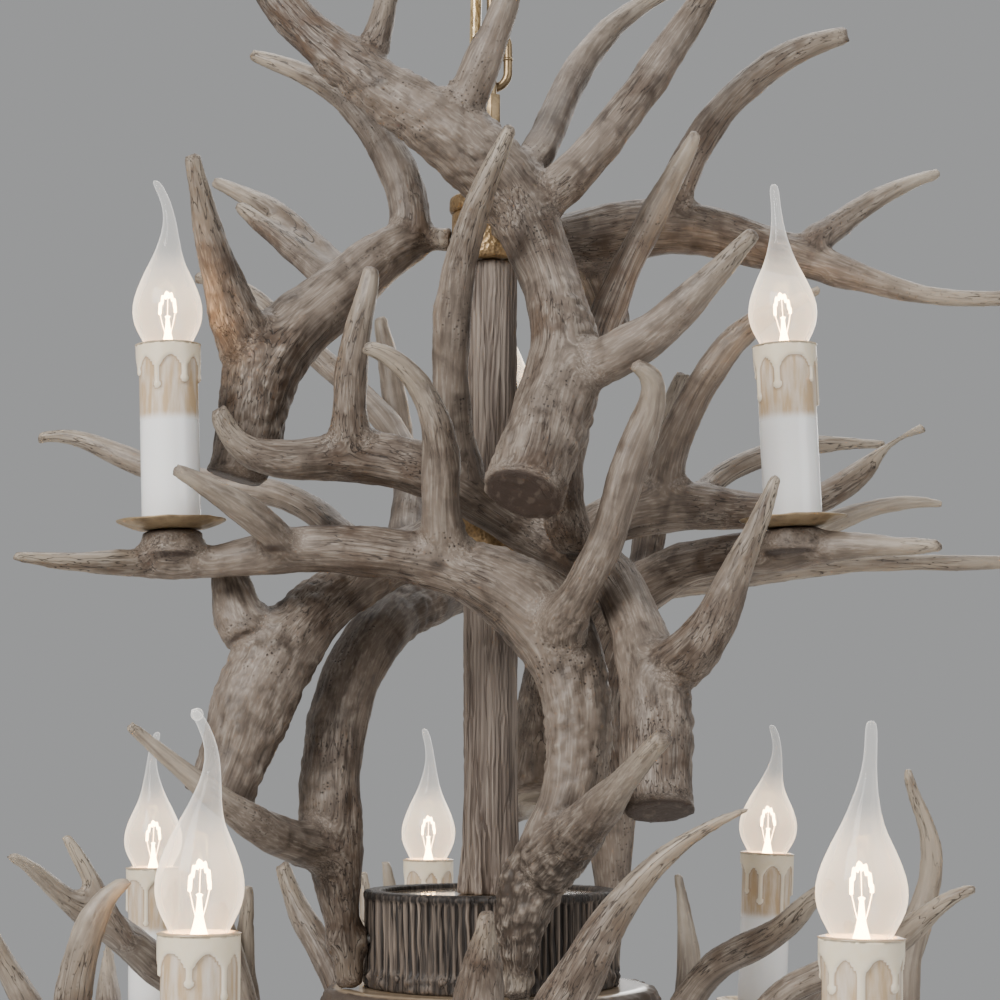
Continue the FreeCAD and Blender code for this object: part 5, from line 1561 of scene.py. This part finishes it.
        envelope.shape(bent)
        if tail is Tail.CURLED:
            ball = [(0.0026 * math.sin(a), mouth + tall * 0.975 - 0.0026 * math.cos(a)) for a in
                    (k * math.pi / 8 for k in range(9))]
            tip = bent(Vector((0, 0, mouth + tall * 0.975)))
            envelope.turn(ball, 20, False, Matrix.Translation((tip.x, tip.y, 0)))
        # near: closeness to the filament, for the painted glow on the glass around it
        near = [max(1 - math.hypot(vertex.co.x, vertex.co.y, (vertex.co.z - mouth - 0.021) * 0.8) / 0.024,
                    0.0) * 2.6 for vertex in envelope.mesh.verts]
        envelope.shape(lambda point: frame @ point)
        glass = envelope.finish(name + "_glass", [self.palette.glass], body, "bulb_glass", [name])
        glass.data.attributes.new("near", "FLOAT", "POINT").data.foreach_set("value", near)
        inside = Workpiece()
        cap_low, cap_high = mouth - 0.0356, mouth - 0.0108
        thread = [(0.0, cap_low), (0.003, cap_low), (0.0036, cap_low + 0.0012), (0.0058, cap_low + 0.003)]
        thread += [(0.0066 if k % 2 else 0.0060, cap_low + 0.004 + 0.0014 * k) for k in range(12)]
        thread += [(0.0066, cap_high - 0.001), (0.0064, cap_high), (0.0, cap_high)]
        inside.turn(thread, 28, False, frame, 1)
        stem = [(0.0062, mouth - 0.0105), (0.0044, mouth - 0.004), (0.0026, mouth + 0.002),
                (0.0017, mouth + 0.006), (0.0012, mouth + 0.010), (0.0009, mouth + 0.0135),
                (0.0015, mouth + 0.0145), (0.0, mouth + 0.0152)]
        inside.turn(stem, 20, False, frame, 2)
        wire = 0.00014
        for side in (-1, 1):
            inside.rod([(0.0010 * side, 0, mouth + 0.004), (0.0026 * side, 0, mouth + 0.010),
                        (0.0040 * side, 0, mouth + 0.0165)], wire, frame, 1, 6)
        inside.rod([(0, 0, mouth + 0.0145), (0, 0.0012, mouth + 0.021), (0, 0.0030, mouth + 0.0262)],
                   wire, frame, 1, 5)
        coil = []
        steps = 48
        for k in range(steps + 1):
            share = k / steps
            a = math.radians(180 * share)
            rise = 0.0165 + 0.0100 * math.sin(share * math.pi) + 0.0013 * math.sin(share * math.pi * 12)
            coil.append((0.0040 * math.cos(a), 0.0030 * math.sin(a), mouth + rise))
        inside.rod(coil, 0.00085, frame, 0, 6)
        inside.finish(name + "_inside", [self.palette.glow, self.palette.zinc, self.palette.stem], body,
                      "bulb_glass")


@dataclass
class Studio:
    """The floor, the lights and the camera."""

    palette: Palette
    lens: float = 86.4
    tilt: float = 5.97
    eye: tuple = (0.0048, -1.29, -0.67225)
    floor_height: float = -1.35
    room_colour: tuple = (0.86, 0.87, 0.88, 1.0)
    room_light: float = 0.40

    def build(self) -> None:
        """Sets the studio up."""
        self.camera()
        self.floor()
        self.light("key", (-1.3, -1.8, 0.75), 1.2, 84.0, (1.0, 0.985, 0.965))
        self.light("fill", (1.7, -1.3, 0.15), 1.3, 15.0, (0.96, 0.98, 1.0))
        self.light("above", (0.1, 0.5, 0.65), 1.2, 14.0, (1.0, 0.99, 0.97))
        self.light("back", (0.5, 1.7, 0.0), 1.2, 14.0, (1.0, 0.98, 0.95))
        world = bpy.data.worlds.new("pale_room")
        world.use_nodes = True
        background = world.node_tree.nodes["Background"]
        background.inputs[0].default_value = self.room_colour
        background.inputs[1].default_value = self.room_light
        bpy.context.scene.world = world

    def camera(self) -> None:
        """The camera at the photograph's place."""
        camera = bpy.data.objects.new("photo_view", bpy.data.cameras.new("photo_view"))
        camera.data.lens = self.lens
        camera.data.sensor_width = 36.0
        camera.data.clip_start = 0.05
        camera.location = self.eye
        camera.rotation_euler = (math.radians(90 + self.tilt), 0, 0)
        bpy.context.scene.collection.objects.link(camera)
        bpy.context.scene.camera = camera

    def floor(self) -> None:
        """A plain pale floor."""
        work = bmesh.new()
        bmesh.ops.create_grid(work, x_segments=4, y_segments=4, size=3.6,
                              matrix=Matrix.Translation((0, 0, self.floor_height)))
        mesh = bpy.data.meshes.new("studio_floor")
        work.to_mesh(mesh)
        work.free()
        mesh.materials.append(self.palette.floor)
        floor = bpy.data.objects.new("studio_floor", mesh)
        bpy.context.scene.collection.objects.link(floor)

    def light(self, name: str, place: tuple, size: float, power: float, colour: tuple) -> None:
        """A square soft light that faces the chandelier.

        Args:
            name: its name.
            place: where it stands.
            size: its side.
            power: its power in watts.
            colour: its colour.
        """
        data = bpy.data.lights.new(name, "AREA")
        data.shape = "SQUARE"
        data.size = size
        data.energy = power
        data.color = colour
        lamp = bpy.data.objects.new(name, data)
        lamp.location = place
        aim = Vector((0, 0, -0.6)) - Vector(place)
        lamp.rotation_euler = aim.to_track_quat("-Z", "Y").to_euler()
        bpy.context.scene.collection.objects.link(lamp)


def main() -> None:
    """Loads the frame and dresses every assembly."""
    logging.basicConfig(level=logging.INFO, format="%(name)s %(message)s")
    FRAME.update(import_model())
    palette = Palette()
    studio = Studio(palette)
    studio.build()
    hanger = Hanger(palette)
    hanger.cord()
    hanger.build()
    Hubs(palette).build()
    Candles(palette).build()
    BarkBody(palette).build()
    CastAntlers(palette).build()


if __name__ == "__main__":
    main()
